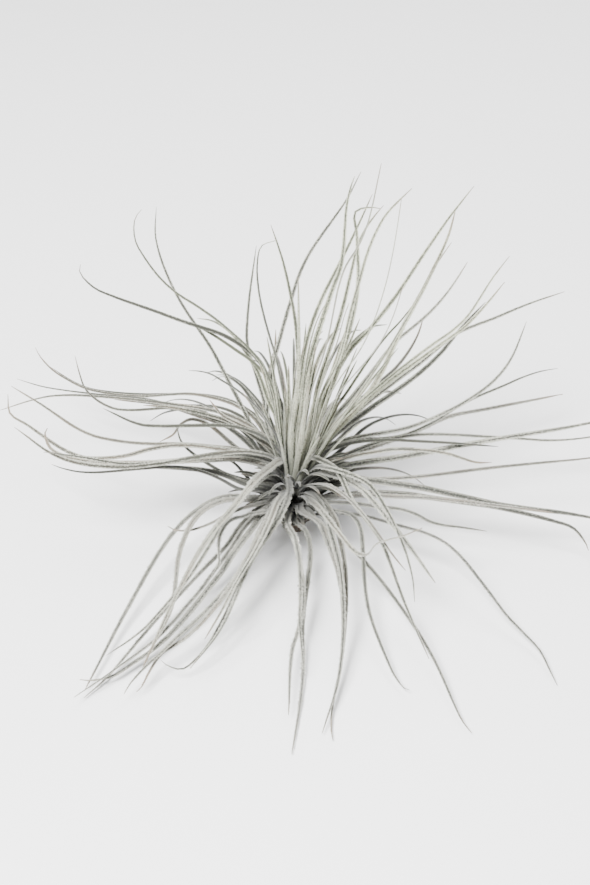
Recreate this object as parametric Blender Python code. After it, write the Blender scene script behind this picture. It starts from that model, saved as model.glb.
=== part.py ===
"""Air plant, as picked: a silvery rosette of thread-tipped leaves on a short cut stem.

It rests on the flat cut face of its stem foot, with its oldest leaves arched over
and lying along the surface. X runs to the right, Y to the back and Z up, and the
origin is the middle of the cut face. Sizes are in millimetres, and become metres
where a mesh is made.
"""
import math
from dataclasses import dataclass

import bmesh
import bpy
import numpy as np
from mathutils import Vector, kdtree

MM = 0.001

# The stem is a small bulb: a woody foot, with the leaf whorls stacked above it.
WHORLS = 9
FOOT_HEIGHT = 7.0
FOOT_RADIUS = 6.5
WHORL_PITCH = 4.2
GAP = 0.3
BULB_RADIUS = 11.5
BULB_MIDDLE = 20.0
BULB_HALF_HEIGHT = 25.5
BULB_SIDES = 14
BULB_CENTRE = np.array([0.0, 0.0, 22.0])

# Inside this distance of the bulb's centre a leaf follows the cup of its whorl.
CUP_REACH = 39.0
CUP_MERGE = 8.0
CUP_SAMPLES = 200
ROOT_SINK = 3.0
ROOT_LEAST = 0.8

# The tuft leans back and to the right. Leaves lean with it the more they rise.
LEAN_BACK = math.tan(math.radians(15))
LEAN_RIGHT = math.tan(math.radians(10))
LEAN_FROM = math.radians(25)
LEAN_FULL = math.radians(70)

# Leaf paths are given as seen from a raised point in front of the plant: across
# and up on a plane through its heart, and how much nearer than that plane.
HEART_HEIGHT = 38.0
SIGHT_DISTANCE = 900.0
SIN_DOWN = math.sin(math.radians(35))
COS_DOWN = math.cos(math.radians(35))

# A leaf is a channelled blade: its width at fractions of its length.
WIDTH_AT = (0.0, 0.07, 0.16, 0.35, 0.60, 0.82, 1.0)
WIDTH = (6.8, 6.0, 4.9, 3.6, 2.5, 1.6, 0.9)
EDGE_LIFT = 0.17
KEEL_DEPTH = 0.42
THICKNESS = 0.85
THICKNESS_SHARE = 0.10
ROOT_OVERLAP = 1.15
SLIM_SHARE = 0.3

# How leaves are kept apart where their paths cross.
SAMPLES = 90
STRETCH = 9
REACH_SHARE = 0.32
REACH_LEAST = 0.55
CLEARANCE = 1.2
LEAST_PUSH = 0.05
TINY = 1e-6
SETTLE_ROUNDS = 100
SETTLE_SPREAD = 10.0
HELD_ROOT = 4.0
FREE_FROM = 12.0
SHARED_ROOT = 26.0
FLOOR_CLEARANCE = 0.3
LANDING = 7.0

# Blades are cut into segments: a few along any leaf, and more where it turns.
SEGMENTS_EACH = 5.0
SEGMENTS_PER_RADIAN = 2.0
MOST_SEGMENTS = 12

# Leaves on the side that is out of sight: a fan to the back, by a golden-angle rule.
BACK_LEAVES = 24
GOLDEN = 0.6180339887
BACK_SPREAD = (math.radians(54), math.radians(20))
BACK_RISE = (math.radians(4), math.radians(66))
BACK_DROP = (math.radians(40), math.radians(62))
BACK_LENGTH = (105.0, 165.0)
BACK_POINTS = 9

# Each row is one leaf: how near its middle and its tip are, then its path.
LEAVES = (
    # Upright tuft, left to right
    ((15, 45), ((-9.5, 38), (-20, 69.5), (-50, 99), (-80, 120), (-98, 145), (-101, 157), (-95, 166.5))),
    ((-5, 5), ((-10.5, 40), (-20, 67.5), (-40, 84.5), (-80, 101), (-118, 115), (-133, 124), (-133, 132.5))),
    ((0, -20), ((-11, 42), (-18, 61), (-30, 76), (-46, 87.5), (-62, 95), (-78, 100))),
    ((-45, -75), ((-22, 28), (-35, 50), (-50, 77.5), (-72, 111), (-82, 133), (-86.5, 150), (-86, 168))),
    ((-35, -60), ((-14, 25), (-19.5, 46), (-24, 64), (-29.5, 82), (-29, 105), (-24, 144))),
    ((45, 85), ((-6, 42), (-12, 74), (-18, 94.5), (-22.5, 115), (-23.5, 133), (-20, 145), (-11, 147.5))),
    ((-10, 10), ((-17, 36), (-14, 68), (-9, 88), (-2, 112), (5, 132), (16, 150), (31, 171), (41, 190))),
    ((-30, -35), ((-18.5, 40), (-17.5, 55), (-14.5, 70), (-12.3, 80), (-12, 92))),
    ((20, 45), ((1, 40), (2, 62), (1.5, 80), (0, 98), (-3.5, 117), (-8, 136), (-15, 157))),
    ((40, 75), ((1, 45), (2.3, 70), (2.2, 100), (2, 124.5))),
    ((5, 0), ((2, 45), (4, 66), (8, 88), (16, 110), (26, 130), (36, 150), (48, 176))),
    ((35, 60), ((4, 45), (6, 65), (10, 86), (15, 101), (20, 109.5))),
    ((25, 70), ((6, 50), (9, 72), (15, 92), (23, 116), (29, 133), (31, 155), (33, 175), (37, 187))),
    ((55, 120), ((10, 48), (15, 66), (20.5, 86), (25, 108), (30, 128), (38, 141), (45, 157), (53.5, 195))),
    ((10, 25), ((12, 50), (17, 66), (23, 84), (29, 103), (35, 128), (40, 147), (48, 161), (55, 169))),
    ((30, 40), ((14, 50), (20, 66), (26, 82), (30.5, 100), (33.5, 108.5))),
    ((45, 90), ((16, 52), (23, 66), (29, 80), (34, 100), (40, 122), (47, 145), (57, 164), (72.5, 179.5))),
    ((35, 50), ((17, 48), (25, 66), (31, 82), (36, 100), (39.3, 120), (38.5, 150), (38.2, 169.5),
     (43, 168.3), (53, 167))),
    ((60, 110), ((18, 45), (28, 62), (37, 74), (45, 88), (52, 106), (58, 127), (62.5, 150), (66, 173))),
    ((30, 65), ((14, 42), (24, 62), (34, 79), (46, 92), (62, 112), (80, 139), (96, 162), (111, 181))),
    ((55, 70), ((18, 38), (30, 56), (42, 70), (53, 84), (60, 98), (67, 119))),
    ((20, 30), ((20, 24), (32, 36), (44, 50), (54, 66), (66, 92), (80, 118), (95, 150), (100, 168))),
    ((0, -5), ((16, 32), (30, 50), (42, 68), (55, 86), (66, 98), (77.5, 113))),
    ((45, 80), ((20, 28), (34, 44), (52, 70), (62, 86), (74, 106), (90, 136), (97, 146))),
    ((-20, -45), ((18, 30), (32, 46), (48, 66), (62, 84), (72, 92.5), (84, 103), (96, 117), (107, 134))),
    ((-60, -100), ((24, 26), (46, 52), (64, 70), (72, 81), (77, 91), (80, 101))),
    ((35, 75), ((18, 24), (30, 37), (50, 55), (70, 71), (90, 86), (104, 96.5), (124, 126), (133, 137.5))),
    ((5, 15), ((20, 24), (36, 40), (56, 58), (74, 71), (92, 84), (104, 92.5), (118, 107), (130, 121.5))),
    ((-15, -35), ((22, 25), (40, 42), (60, 58), (80, 73), (100, 89.5), (120, 97.5), (145, 108),
     (167, 115.5))),
    ((-40, -70), ((22, 22), (40, 38), (60, 52), (76, 64), (90, 77), (103, 93), (118, 109))),
    # Right side, top to bottom
    ((-25, -60), ((16, 17), (30, 23.5), (50, 27), (70, 31), (90, 39), (110, 50), (124, 61), (134, 74),
     (143.5, 97))),
    ((-45, -85), ((15, 14), (30, 20.5), (48, 23.5), (66, 26), (85, 34), (104, 46), (130, 57.5),
     (148, 65), (163, 68))),
    ((-60, -100), ((24, 9.5), (40, 16), (56, 22), (72, 27.5), (88, 35), (98, 38.8), (115, 42), (166, 52))),
    ((-35, -45), ((24, 10), (42, 18.5), (60, 24), (76, 26.6), (92, 26.8), (145, 24), (160, 23.2),
     (182, 25.2), (198, 28))),
    ((-10, -15), ((16, 14), (34, 21.5), (56, 23.5), (75, 22.8), (98, 21.5), (126, 19.5))),
    ((-15, -20), ((28, 5.5), (45, 9.5), (62, 12), (80, 15.3), (98, 19), (134, 25.5), (166, 30.8),
     (182, 34), (197, 37.5))),
    ((5, 25), ((24, 9), (36, 12.8), (50, 16), (64, 17.8), (78, 17.2), (92, 15.6), (115, 9.2), (122, 9.8))),
    ((0, 0), ((30, 1), (46, -1), (62, -0.5), (80, 0.9), (120, 6), (145, 8.6), (178, 11.8), (195, 14))),
    ((10, 10), ((36, -2), (52, -2.8), (70, -5), (90, -9.5), (130, -17), (168, -21.8), (182, -24.2),
     (198, -27.5))),
    ((10, 30), ((24, -12), (42, -10), (64, -10), (86, -12), (126, -18.5), (166, -28.6), (177, -34),
     (182, -45))),
    ((25, 40), ((20, -12.5), (40, -12), (64, -12), (86, -13), (124, -17.2), (140, -19), (160, -21.5))),
    ((35, 50), ((18, -15), (34, -16), (52, -18), (66, -19.5), (76, -23), (87, -28.6), (96, -29.6),
     (119, -33))),
    ((40, 85), ((26, -21.5), (42, -23.5), (64, -29.5), (84, -35.5), (98, -44), (122, -73), (136, -91),
     (149, -103), (162.5, -128.5))),
    # Arching over in front, to the right
    ((55, 95), ((6, 12.8), (13, 13.6), (22, 9), (29, 0), (35, -12), (43, -24), (53, -38), (68, -77),
     (83, -112))),
    ((55, 80), ((5, 4), (13, 6.5), (24, 5), (36, 0.5), (46, -4), (53, -13), (67, -40), (71, -56),
     (74, -77))),
    ((50, 85), ((4, 1), (14, 3), (26, 0), (38, -5), (48, -14), (58, -26), (78, -53), (87, -65))),
    ((60, 75), ((6, -3), (16, -4), (28, -9), (38, -18), (48, -30), (58, -43.5), (70, -56.5))),
    ((75, 120), ((6, -7), (12, -11), (17, -22), (22, -38), (28, -58), (30, -80), (29.5, -105),
     (26, -130), (17, -158.5))),
    ((65, 120), ((12, -10), (19, -16), (25, -26), (28.5, -40), (31.5, -60), (31.5, -85), (29, -112),
     (22, -150), (23.5, -163))),
    ((60, 120), ((12, -18), (22, -29), (31, -39), (50, -59.5), (72, -89), (86, -112), (104, -151),
     (109.5, -158))),
    ((50, 100), ((22, -20), (34, -22), (40, -29), (42, -44), (43, -62), (46, -83), (61, -121),
     (67, -130.5), (71, -131.5))),
    ((60, 85), ((12, -16), (24, -30), (36, -44.5), (43, -49), (47, -44.5), (52, -40), (64, -37),
     (79, -31))),
    ((45, 80), ((4, -21.5), (11, -22.5), (17, -28), (21, -38), (26, -54), (29, -72), (29.5, -92))),
    ((60, 120), ((-8, -25), (-3, -31), (1, -42), (4, -60), (5, -78), (2, -94), (-2, -108), (-4, -147))),
    ((60, 125), ((0, -28.5), (5.5, -30.5), (9, -38), (9.3, -52), (6.5, -72), (4.5, -92), (5, -114),
     (3.5, -136), (-2, -171))),
    ((65, 100), ((-6, -27), (-1, -34), (2.5, -50), (3.5, -68), (3, -88), (5.5, -120))),
    # Arching over in front, to the left
    ((75, 110), ((-2.2, 3), (-3.5, -8), (-8, -20), (-15, -31), (-23, -44), (-31, -59), (-38, -76),
     (-47, -95), (-65, -118))),
    ((70, 100), ((-6, -8), (-12, -24), (-22, -41), (-34, -64), (-43, -84), (-55, -105), (-68, -117.5),
     (-77, -119), (-83, -113))),
    ((60, 100), ((-3, 9), (-8, 11.5), (-15, 6.5), (-25, -3.5), (-37, -17), (-50, -32), (-62, -50),
     (-80, -86), (-95, -119))),
    ((50, 90), ((-14, 3), (-26, -7), (-38, -20), (-48, -34), (-58, -50), (-68, -65), (-80, -79),
     (-96, -95.5), (-117, -110))),
    ((30, 100), ((-24, -12), (-36, -11), (-47, -12), (-58, -18), (-70, -28), (-82, -43), (-105, -83),
     (-130, -131))),
    ((40, 90), ((-26, -14), (-40, -13.5), (-52, -17), (-61, -24), (-68, -36), (-72.5, -50), (-74, -66),
     (-77, -82), (-92, -112))),
    ((25, 30), ((-20, -16), (-32, -18.5), (-42, -22.5), (-52, -28), (-63, -32), (-73, -32.6),
     (-79, -29.8))),
    ((35, 60), ((-18, -21), (-30, -24), (-40, -26), (-45.5, -33), (-47.5, -43), (-47, -52), (-52, -62))),
    ((60, 110), ((-12, -12), (-20, -19.5), (-30, -31), (-41, -47), (-54, -65), (-67, -81), (-82, -97),
     (-115, -121.5), (-137, -136))),
    ((60, 100), ((-14, -16), (-24, -27), (-36, -43), (-50, -63), (-64, -80), (-80, -97.5),
     (-98, -112.5), (-122, -127.5), (-128, -125), (-133, -125.5))),
    ((70, 110), ((-9, -8), (-13, -18), (-22, -36), (-34, -58), (-48, -76), (-62, -91), (-76, -103),
     (-100, -124.5), (-106, -134))),
    ((70, 105), ((-10, -14), (-17, -28), (-28, -48), (-42, -70), (-58, -88), (-74, -102), (-87, -112),
     (-93, -128), (-98, -132.5))),
    ((75, 90), ((-7, -10), (-14, -26), (-25, -46), (-37, -66), (-44, -80), (-56, -100))),
    ((50, 100), ((-16, -14), (-28, -26), (-42, -42), (-58, -58), (-72, -73), (-86, -88), (-112, -118),
     (-131, -135.5))),
    # Left side, top to bottom
    ((-55, -110), ((-18, 30), (-30, 40.5), (-42, 46.5), (-56, 49.5), (-95, 50.3), (-114, 52.2),
     (-131, 56), (-155, 71), (-161, 81))),
    ((-70, -120), ((-16, 31), (-28, 42), (-42, 48.5), (-58, 51.5), (-96, 52), (-116, 53.5), (-132, 57),
     (-152, 69))),
    ((-30, -60), ((-16, 24), (-30, 30.5), (-46, 35), (-62, 40), (-78, 43.3), (-96, 42.2), (-112, 43),
     (-129, 54), (-136.5, 76))),
    ((-40, -70), ((-18, 26), (-34, 35), (-52, 41.5), (-72, 45), (-118, 50.2), (-140, 51.3), (-156, 50),
     (-183, 42))),
    ((-55, -95), ((-20, 30), (-38, 41), (-58, 46.5), (-80, 48.5), (-124, 52), (-158, 57), (-172.5, 61.5))),
    ((20, 10), ((-8, 14), (-16, 22), (-28, 29), (-42, 32.3), (-80, 32.2), (-96, 33.2), (-119, 43.2))),
    ((-10, -30), ((-18, 12), (-34, 16.5), (-50, 19), (-70, 20.8), (-90, 21), (-110, 22.8), (-130, 28),
     (-158, 46), (-176, 57))),
    ((5, -10), ((-18, 10), (-34, 14.5), (-52, 18.5), (-70, 20.2), (-86, 18.6), (-104, 13.8),
     (-120, 12.2), (-136, 14), (-166, 33), (-179, 43), (-178, 52))),
    ((35, 30), ((-12, 11.5), (-24, 14.8), (-38, 16), (-54, 14), (-92, 7.8), (-112, 6.8), (-132, 9.5),
     (-150, 15.2), (-174, 31.5))),
    ((15, 10), ((-16, 6), (-30, 10.5), (-46, 11.3), (-62, 10.8), (-100, 8.8), (-138, 12), (-150, 17.2),
     (-156, 23.5), (-153.5, 31))),
    ((25, 40), ((-14, 9), (-28, 13.2), (-44, 14.2), (-62, 12.5), (-82, 9.8), (-104, 8.6), (-124, 11),
     (-156, 15.6))),
    ((10, 20), ((-24, -8), (-34, -7.5), (-46, -1), (-58, 4), (-74, 6.8), (-92, 6), (-126, 3.4),
     (-140, 4.8), (-151, 8.5))),
    ((-10, -20), ((-24, -3), (-34, -0.5), (-44, 3), (-54, 8.8), (-63, 15), (-69, 20.5), (-72, 26),
     (-72.8, 32))),
    ((-35, -40), ((-20, 6), (-30, 13), (-38, 20), (-47, 28), (-55, 34), (-64, 36.4), (-70.5, 33.8),
     (-73.5, 28.5), (-84, 22.3))),
    ((25, 30), ((-10, 24), (-16, 34), (-24, 44), (-34, 53), (-46, 60.8), (-55, 65.5), (-66, 66.6))),
    ((0, -10), ((-8, 18), (-16, 25), (-27, 30), (-37, 34.5), (-45, 39), (-53, 48.5))),
    ((-60, -95), ((-14, 10), (-24, 18), (-33, 25.5), (-42, 31.5), (-54, 37.5), (-68, 42.3), (-84, 45.5),
     (-112, 48.6))),
    ((-15, -25), ((-12, 16), (-22, 25), (-34, 32), (-48, 37.5), (-62, 41), (-78, 44), (-94, 45))),
    ((-20, -30), ((-18, -6), (-26, -3), (-32, 3.5), (-38, 9.5), (-48, 14))),
    ((0, -10), ((-22, -7), (-32, -3.5), (-44, 1.5), (-56, 4.6), (-86, 6.9), (-104, 7))),
)


@dataclass
class Leaf:
    """One leaf: its number, its whorl, its path and the way out of the stem at its root."""
    number: int
    whorl: int
    path: np.ndarray
    outward: np.ndarray


def place(seen):
    """Turn points given as across, up and near into x, y and z."""
    across, up, near = np.moveaxis(np.asarray(seen, float), -1, 0)
    shrink = 1 - near / SIGHT_DISTANCE
    return np.stack([across * shrink,
                     up * shrink * SIN_DOWN - near * COS_DOWN,
                     HEART_HEIGHT + up * shrink * COS_DOWN + near * SIN_DOWN], axis=-1)


def sighted(points):
    """Turn x, y and z back into across, up and near."""
    x, y, z = np.moveaxis(np.asarray(points, float), -1, 0)
    rise = z - HEART_HEIGHT
    near = rise * SIN_DOWN - y * COS_DOWN
    shrink = 1 - near / SIGHT_DISTANCE
    return np.stack([x / shrink, (y * SIN_DOWN + rise * COS_DOWN) / shrink, near], axis=-1)


def floor_near(up, height):
    """How near a point seen at this height in the view lies when it is on the surface."""
    slope = SIN_DOWN - up * COS_DOWN / SIGHT_DISTANCE
    return (height - HEART_HEIGHT - up * COS_DOWN) / slope


def lengths(points):
    """The distance along a path at each of its points."""
    steps = np.linalg.norm(np.diff(points, axis=0), axis=1)
    return np.concatenate([[0.0], np.cumsum(steps)])


def resample(points, stations):
    """The path at the given distances along it."""
    run = lengths(points)
    return np.stack([np.interp(stations, run, points[:, axis]) for axis in range(3)], axis=1)


def smooth_path(points, count):
    """A centripetal curve through the points, as evenly spaced samples."""
    ends = np.vstack([2 * points[0] - points[1], points, 2 * points[-1] - points[-2]])
    fine = []
    for index in range(1, len(ends) - 2):
        p0, p1, p2, p3 = ends[index - 1:index + 3]
        k0, k1, k2 = (math.sqrt(max(np.linalg.norm(b - a), 0.1))
                      for a, b in ((p0, p1), (p1, p2), (p2, p3)))
        leave = ((p1 - p0) / k0 - (p2 - p0) / (k0 + k1) + (p2 - p1) / k1) * k1
        arrive = ((p2 - p1) / k1 - (p3 - p1) / (k1 + k2) + (p3 - p2) / k2) * k1
        for t in np.linspace(0, 1, 24, endpoint=False):
            fine.append((2 * t**3 - 3 * t**2 + 1) * p1 + (t**3 - 2 * t**2 + t) * leave
                        + (3 * t**2 - 2 * t**3) * p2 + (t**3 - t**2) * arrive)
    fine.append(points[-1])
    fine = np.array(fine)
    return resample(fine, np.linspace(0, lengths(fine)[-1], count))


def seen_path(near, path, root_near):
    """A leaf in view, as x, y and z: its depth runs smoothly from root to tip."""
    path = np.array(path, float)
    share = lengths(np.vstack([[0, 0], path]))[1:]
    share = share / share[-1]
    middle, tip = near
    depth = (root_near * (1 - share) * (1 - 2 * share) + middle * 4 * share * (1 - share)
             + tip * share * (2 * share - 1))
    floor = floor_near(path[:, 1], FLOOR_CLEARANCE + THICKNESS)
    depth = floor + LANDING * np.logaddexp(0, (depth - floor) / LANDING)
    return place(np.column_stack([path, depth]))


def back_path(index):
    """A leaf out of sight: it leaves the bulb to the back and arches over."""
    share = (index + 0.5) / BACK_LEAVES
    swing = 2 * ((index * GOLDEN) % 1.0) - 1
    spread, rise, drop = (low + share * (high - low)
                          for low, high in (BACK_SPREAD, BACK_RISE, BACK_DROP))
    azimuth = math.pi / 2 + spread * swing
    length = BACK_LENGTH[0] + ((index * GOLDEN * 7) % 1.0) * (BACK_LENGTH[1] - BACK_LENGTH[0])
    step = length / BACK_POINTS
    point = BULB_CENTRE.copy()
    points = []
    for number in range(BACK_POINTS):
        along = (number + 0.5) / BACK_POINTS
        angle = rise - drop * (1.6 * along**1.5 - 0.2)
        turn = azimuth + 0.35 * swing * along
        point = point + step * np.array([math.cos(angle) * math.cos(turn),
                                         math.cos(angle) * math.sin(turn), math.sin(angle)])
        points.append(point)
    seen = sighted(np.array(points))
    floor = floor_near(seen[:, 1], FLOOR_CLEARANCE + THICKNESS)
    seen[:, 2] = floor + LANDING * np.logaddexp(0, (seen[:, 2] - floor) / LANDING)
    return place(seen)


def cup_edge(path):
    """Where a path leaves the sphere in which leaves follow their cups."""
    fine = smooth_path(path, CUP_SAMPLES)
    return fine[np.argmax(np.linalg.norm(fine - BULB_CENTRE, axis=1) > CUP_REACH)]


def stem_axis(point):
    """The stem's direction for a leaf through a point: it leans more for steep leaves."""
    offset = point - BULB_CENTRE
    rise = math.atan2(offset[2], math.hypot(offset[0], offset[1]))
    lean = min(1.0, max(0.0, (rise - LEAN_FROM) / (LEAN_FULL - LEAN_FROM)))
    axis = np.array([LEAN_RIGHT * lean, LEAN_BACK * lean, 1.0])
    return axis / np.linalg.norm(axis)


def rise_of(path):
    """How steeply a leaf leaves the bulb, measured from the leaning stem."""
    edge = cup_edge(path)
    axis = stem_axis(edge)
    height = (edge - BULB_CENTRE) @ axis
    return math.atan2(height, np.linalg.norm(edge - BULB_CENTRE - height * axis))


def bulb_radius(height):
    """The bulb's radius at a height."""
    share = (height - BULB_MIDDLE) / BULB_HALF_HEIGHT
    return BULB_RADIUS * math.sqrt(1 - share * share)


def whorl_height(whorl):
    """The middle height of a whorl's collar; the lowest whorl is number 0."""
    return FOOT_HEIGHT + GAP + (whorl + 0.5) * WHORL_PITCH


def rooted(number, whorl, path):
    """A whole leaf: from inside its collar, up its cup and out along its own path."""
    edge = cup_edge(path)
    axis = stem_axis(edge)
    centre = np.array([0.0, 0.0, whorl_height(whorl)])
    outward = edge - centre
    outward = outward - (outward @ axis) * axis
    outward[2] = 0
    outward /= np.linalg.norm(outward)
    radius = bulb_radius(centre[2])
    rim = centre + outward * radius
    sunk = centre + outward * max(radius - ROOT_SINK, ROOT_LEAST)
    beyond = path[np.linalg.norm(path - BULB_CENTRE, axis=1) > CUP_REACH + CUP_MERGE]
    whole = smooth_path(np.vstack([sunk, rim, edge, beyond]), SAMPLES)
    return Leaf(number, whorl, whole, outward)


def all_leaves():
    """Every leaf, dealt to the whorls by how steeply it rises, from the lowest up."""
    paths = [seen_path(near, path, 0.0) for near, path in LEAVES]
    paths += [back_path(index) for index in range(BACK_LEAVES)]
    order = sorted(range(len(paths)), key=lambda number: rise_of(paths[number]))
    leaves = []
    for rank, number in enumerate(order):
        whorl = rank * WHORLS // len(order)
        leaf = rooted(number, whorl, paths[number])
        if number < len(LEAVES):
            height = whorl_height(whorl)
            rim = leaf.outward * bulb_radius(height) + np.array([0.0, 0.0, height])
            leaf = rooted(number, whorl, seen_path(*LEAVES[number], sighted(rim)[2]))
        leaves.append(leaf)
    return leaves


def leaf_width(share, whorl):
    """The blade's width at a share of its length. Young leaves have slimmer roots."""
    room = 2 * math.pi * bulb_radius(whorl_height(whorl)) * ROOT_OVERLAP * WHORLS
    root = min(1.0, room / (WIDTH[0] * (len(LEAVES) + BACK_LEAVES)))
    slim = root + (1 - root) * np.clip(np.asarray(share) / SLIM_SHARE, 0, 1)
    return np.interp(share, WIDTH_AT, WIDTH) * slim


def settle(leaves):
    """Bend leaves that come too close apart, each a little, as smooth curves."""
    share = np.linspace(0, 1, SAMPLES)
    reach = np.array([REACH_SHARE * leaf_width(share, leaf.whorl) + REACH_LEAST for leaf in leaves])
    points = np.array([leaf.path for leaf in leaves])
    runs = np.array([lengths(leaf.path) for leaf in leaves])
    ease = np.clip((runs - HELD_ROOT) / (FREE_FROM - HELD_ROOT), 0, 1)
    spacing = runs[:, -1] / (SAMPLES - 1)
    steps = np.abs(np.subtract.outer(np.arange(SAMPLES), np.arange(SAMPLES)))
    spread = np.exp(-0.5 * (steps[None] * spacing[:, None, None] / SETTLE_SPREAD) ** 2)
    fused = np.array([[one.whorl == two.whorl for two in leaves] for one in leaves])
    for _ in range(SETTLE_ROUNDS):
        shift = np.zeros_like(points)
        weight = np.zeros_like(ease)
        for gap, one, i, two, j in contacts(points, reach, fused, runs):
            held = ease[one, i] + ease[two, j]
            if held == 0:
                continue
            apart = points[one, i] - points[two, j]
            apart = apart / max(np.linalg.norm(apart), TINY)
            for leaf, sample, way in ((one, i, 1), (two, j, -1)):
                near = spread[leaf, sample]
                shift[leaf] += (way * gap * ease[leaf, sample] / held * near)[:, None] * apart
                weight[leaf] += near
        points += shift / np.maximum(weight, 1)[:, :, None] * ease[:, :, None]
        lowest = FLOOR_CLEARANCE + THICKNESS
        points[:, :, 2] = np.where(ease > 0, np.maximum(points[:, :, 2], lowest), points[:, :, 2])
    for leaf, path in zip(leaves, points):
        leaf.path = path


def contacts(points, reach, fused, runs):
    """The closest samples of leaves that are too close: one pair for each short stretch."""
    flat = points.reshape(-1, 3)
    tree = kdtree.KDTree(len(flat))
    for index, point in enumerate(flat):
        tree.insert(point, index)
    tree.balance()
    found = {}
    for index, point in enumerate(flat):
        one, i = divmod(index, SAMPLES)
        own = reach[one, i] + CLEARANCE
        for _, other, distance in tree.find_range(point, own + reach.max()):
            two, j = divmod(other, SAMPLES)
            gap = own + reach[two, j] - distance
            if two <= one or gap <= LEAST_PUSH or fused[one, two] and runs[one, i] < SHARED_ROOT:
                continue
            key = (one, two, i // STRETCH)
            if gap > found.get(key, (0,))[0]:
                found[key] = (gap, one, i, two, j)
    return sorted(found.values())


def stations(path):
    """Distances along a path at which its blade has a section: closer where it turns."""
    run = lengths(path)
    ways = np.diff(path, axis=0)
    ways /= np.linalg.norm(ways, axis=1)[:, None]
    turns = np.arccos(np.clip((ways[1:] * ways[:-1]).sum(axis=1), -1, 1))
    cost = run / run[-1] * SEGMENTS_EACH
    cost[1:-1] += np.cumsum(turns) * SEGMENTS_PER_RADIAN
    cost[-1] = max(cost[-1] + turns.sum() * SEGMENTS_PER_RADIAN, cost[-2] + 0.01)
    segments = min(MOST_SEGMENTS, int(round(cost[-1])))
    return np.interp(np.linspace(0, cost[-1], segments + 1), cost, run)


def blade(leaf, material):
    """One leaf as a closed channelled blade of four-sided section."""
    places = stations(leaf.path)
    points = resample(leaf.path, places)
    ways = np.gradient(points, axis=0)
    ways /= np.linalg.norm(ways, axis=1)[:, None]
    side = np.array([-leaf.outward[1], leaf.outward[0], 0.0])
    rings = []
    for point, way, share in zip(points, ways, places / places[-1]):
        side = side - (side @ way) * way
        side /= np.linalg.norm(side)
        face = np.cross(way, side)
        half = leaf_width(share, leaf.whorl) / 2
        thick = THICKNESS + THICKNESS_SHARE * half
        lift = EDGE_LIFT * half * min(2.0, half)
        keel = KEEL_DEPTH * thick
        rings.append([point - half * side + lift * face, point - keel * face,
                      point + half * side + lift * face, point + (thick - keel) * face])
    mesh = bmesh.new()
    loops = [[mesh.verts.new(Vector(corner) * MM) for corner in ring] for ring in rings]
    for low, high in zip(loops, loops[1:]):
        for corner in range(4):
            after = (corner + 1) % 4
            mesh.faces.new((low[corner], low[after], high[after], high[corner]))
    mesh.faces.new(loops[0][::-1])
    mesh.faces.new(loops[-1])
    bmesh.ops.triangulate(mesh, faces=mesh.faces)
    bmesh.ops.recalc_face_normals(mesh, faces=mesh.faces)
    return add_object("leaf_%03d" % leaf.number, mesh, material)


def turned(name, profile, material):
    """A solid of revolution about Z through (radius, height) points, bottom to top."""
    mesh = bmesh.new()
    rings = []
    for radius, height in profile:
        rings.append([mesh.verts.new(Vector((radius * math.cos(angle), radius * math.sin(angle),
                                             height)) * MM)
                      for angle in (2 * math.pi * n / BULB_SIDES for n in range(BULB_SIDES))])
    for low, high in zip(rings, rings[1:]):
        for n in range(BULB_SIDES):
            after = (n + 1) % BULB_SIDES
            mesh.faces.new((low[n], low[after], high[after], high[n]))
    mesh.faces.new(rings[0][::-1])
    mesh.faces.new(rings[-1])
    return add_object(name, mesh, material)


def add_object(name, mesh, material):
    """Turn a bmesh into a named object with its material."""
    data = bpy.data.meshes.new(name)
    mesh.to_mesh(data)
    mesh.free()
    data.materials.append(material)
    item = bpy.data.objects.new(name, data)
    bpy.context.scene.collection.objects.link(item)
    return item


def finish(name, colour, roughness):
    """A plain Principled material."""
    material = bpy.data.materials.new(name)
    material.use_nodes = True
    shader = material.node_tree.nodes["Principled BSDF"]
    shader.inputs["Base Color"].default_value = (*colour, 1)
    shader.inputs["Roughness"].default_value = roughness
    return material


def fuse(body, leaves):
    """Join leaves to the collar they grow from, as one body."""
    group = bpy.data.collections.new(body.name + "_leaves")
    bpy.context.scene.collection.children.link(group)
    for leaf in leaves:
        bpy.context.scene.collection.objects.unlink(leaf)
        group.objects.link(leaf)
    union = body.modifiers.new("Leaves", "BOOLEAN")
    union.operation = "UNION"
    union.operand_type = "COLLECTION"
    union.collection = group
    union.solver = "MANIFOLD"
    result = bpy.data.meshes.new_from_object(
        body.evaluated_get(bpy.context.evaluated_depsgraph_get()))
    body.modifiers.clear()
    body.data = result
    for leaf in list(group.objects):
        bpy.data.objects.remove(leaf)
    bpy.data.collections.remove(group)
    keep_outer_body(result)


def keep_outer_body(data):
    """Drop loose scraps and sealed hollows, so that one closed body is left."""
    mesh = bmesh.new()
    mesh.from_mesh(data)
    left = set(mesh.verts)
    islands = []
    while left:
        front = [left.pop()]
        island = set(front)
        while front:
            for edge in front.pop().link_edges:
                for vert in edge.verts:
                    if vert in left:
                        left.discard(vert)
                        island.add(vert)
                        front.append(vert)
        islands.append(island)
    islands.sort(key=len)
    for island in islands[:-1]:
        bmesh.ops.delete(mesh, geom=list(island), context="VERTS")
    bmesh.ops.triangulate(mesh, faces=mesh.faces)
    mesh.to_mesh(data)
    mesh.free()


def collar(whorl, material):
    """The slice of the bulb that one whorl of leaves grows from."""
    low = FOOT_HEIGHT + GAP + whorl * WHORL_PITCH
    high = low + WHORL_PITCH - GAP
    profile = [(bulb_radius(height) - 0.5, height)
               for height in (low, (low + high) / 2, high)]
    return turned("whorl_%02d" % (whorl + 1), profile, material)


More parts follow.
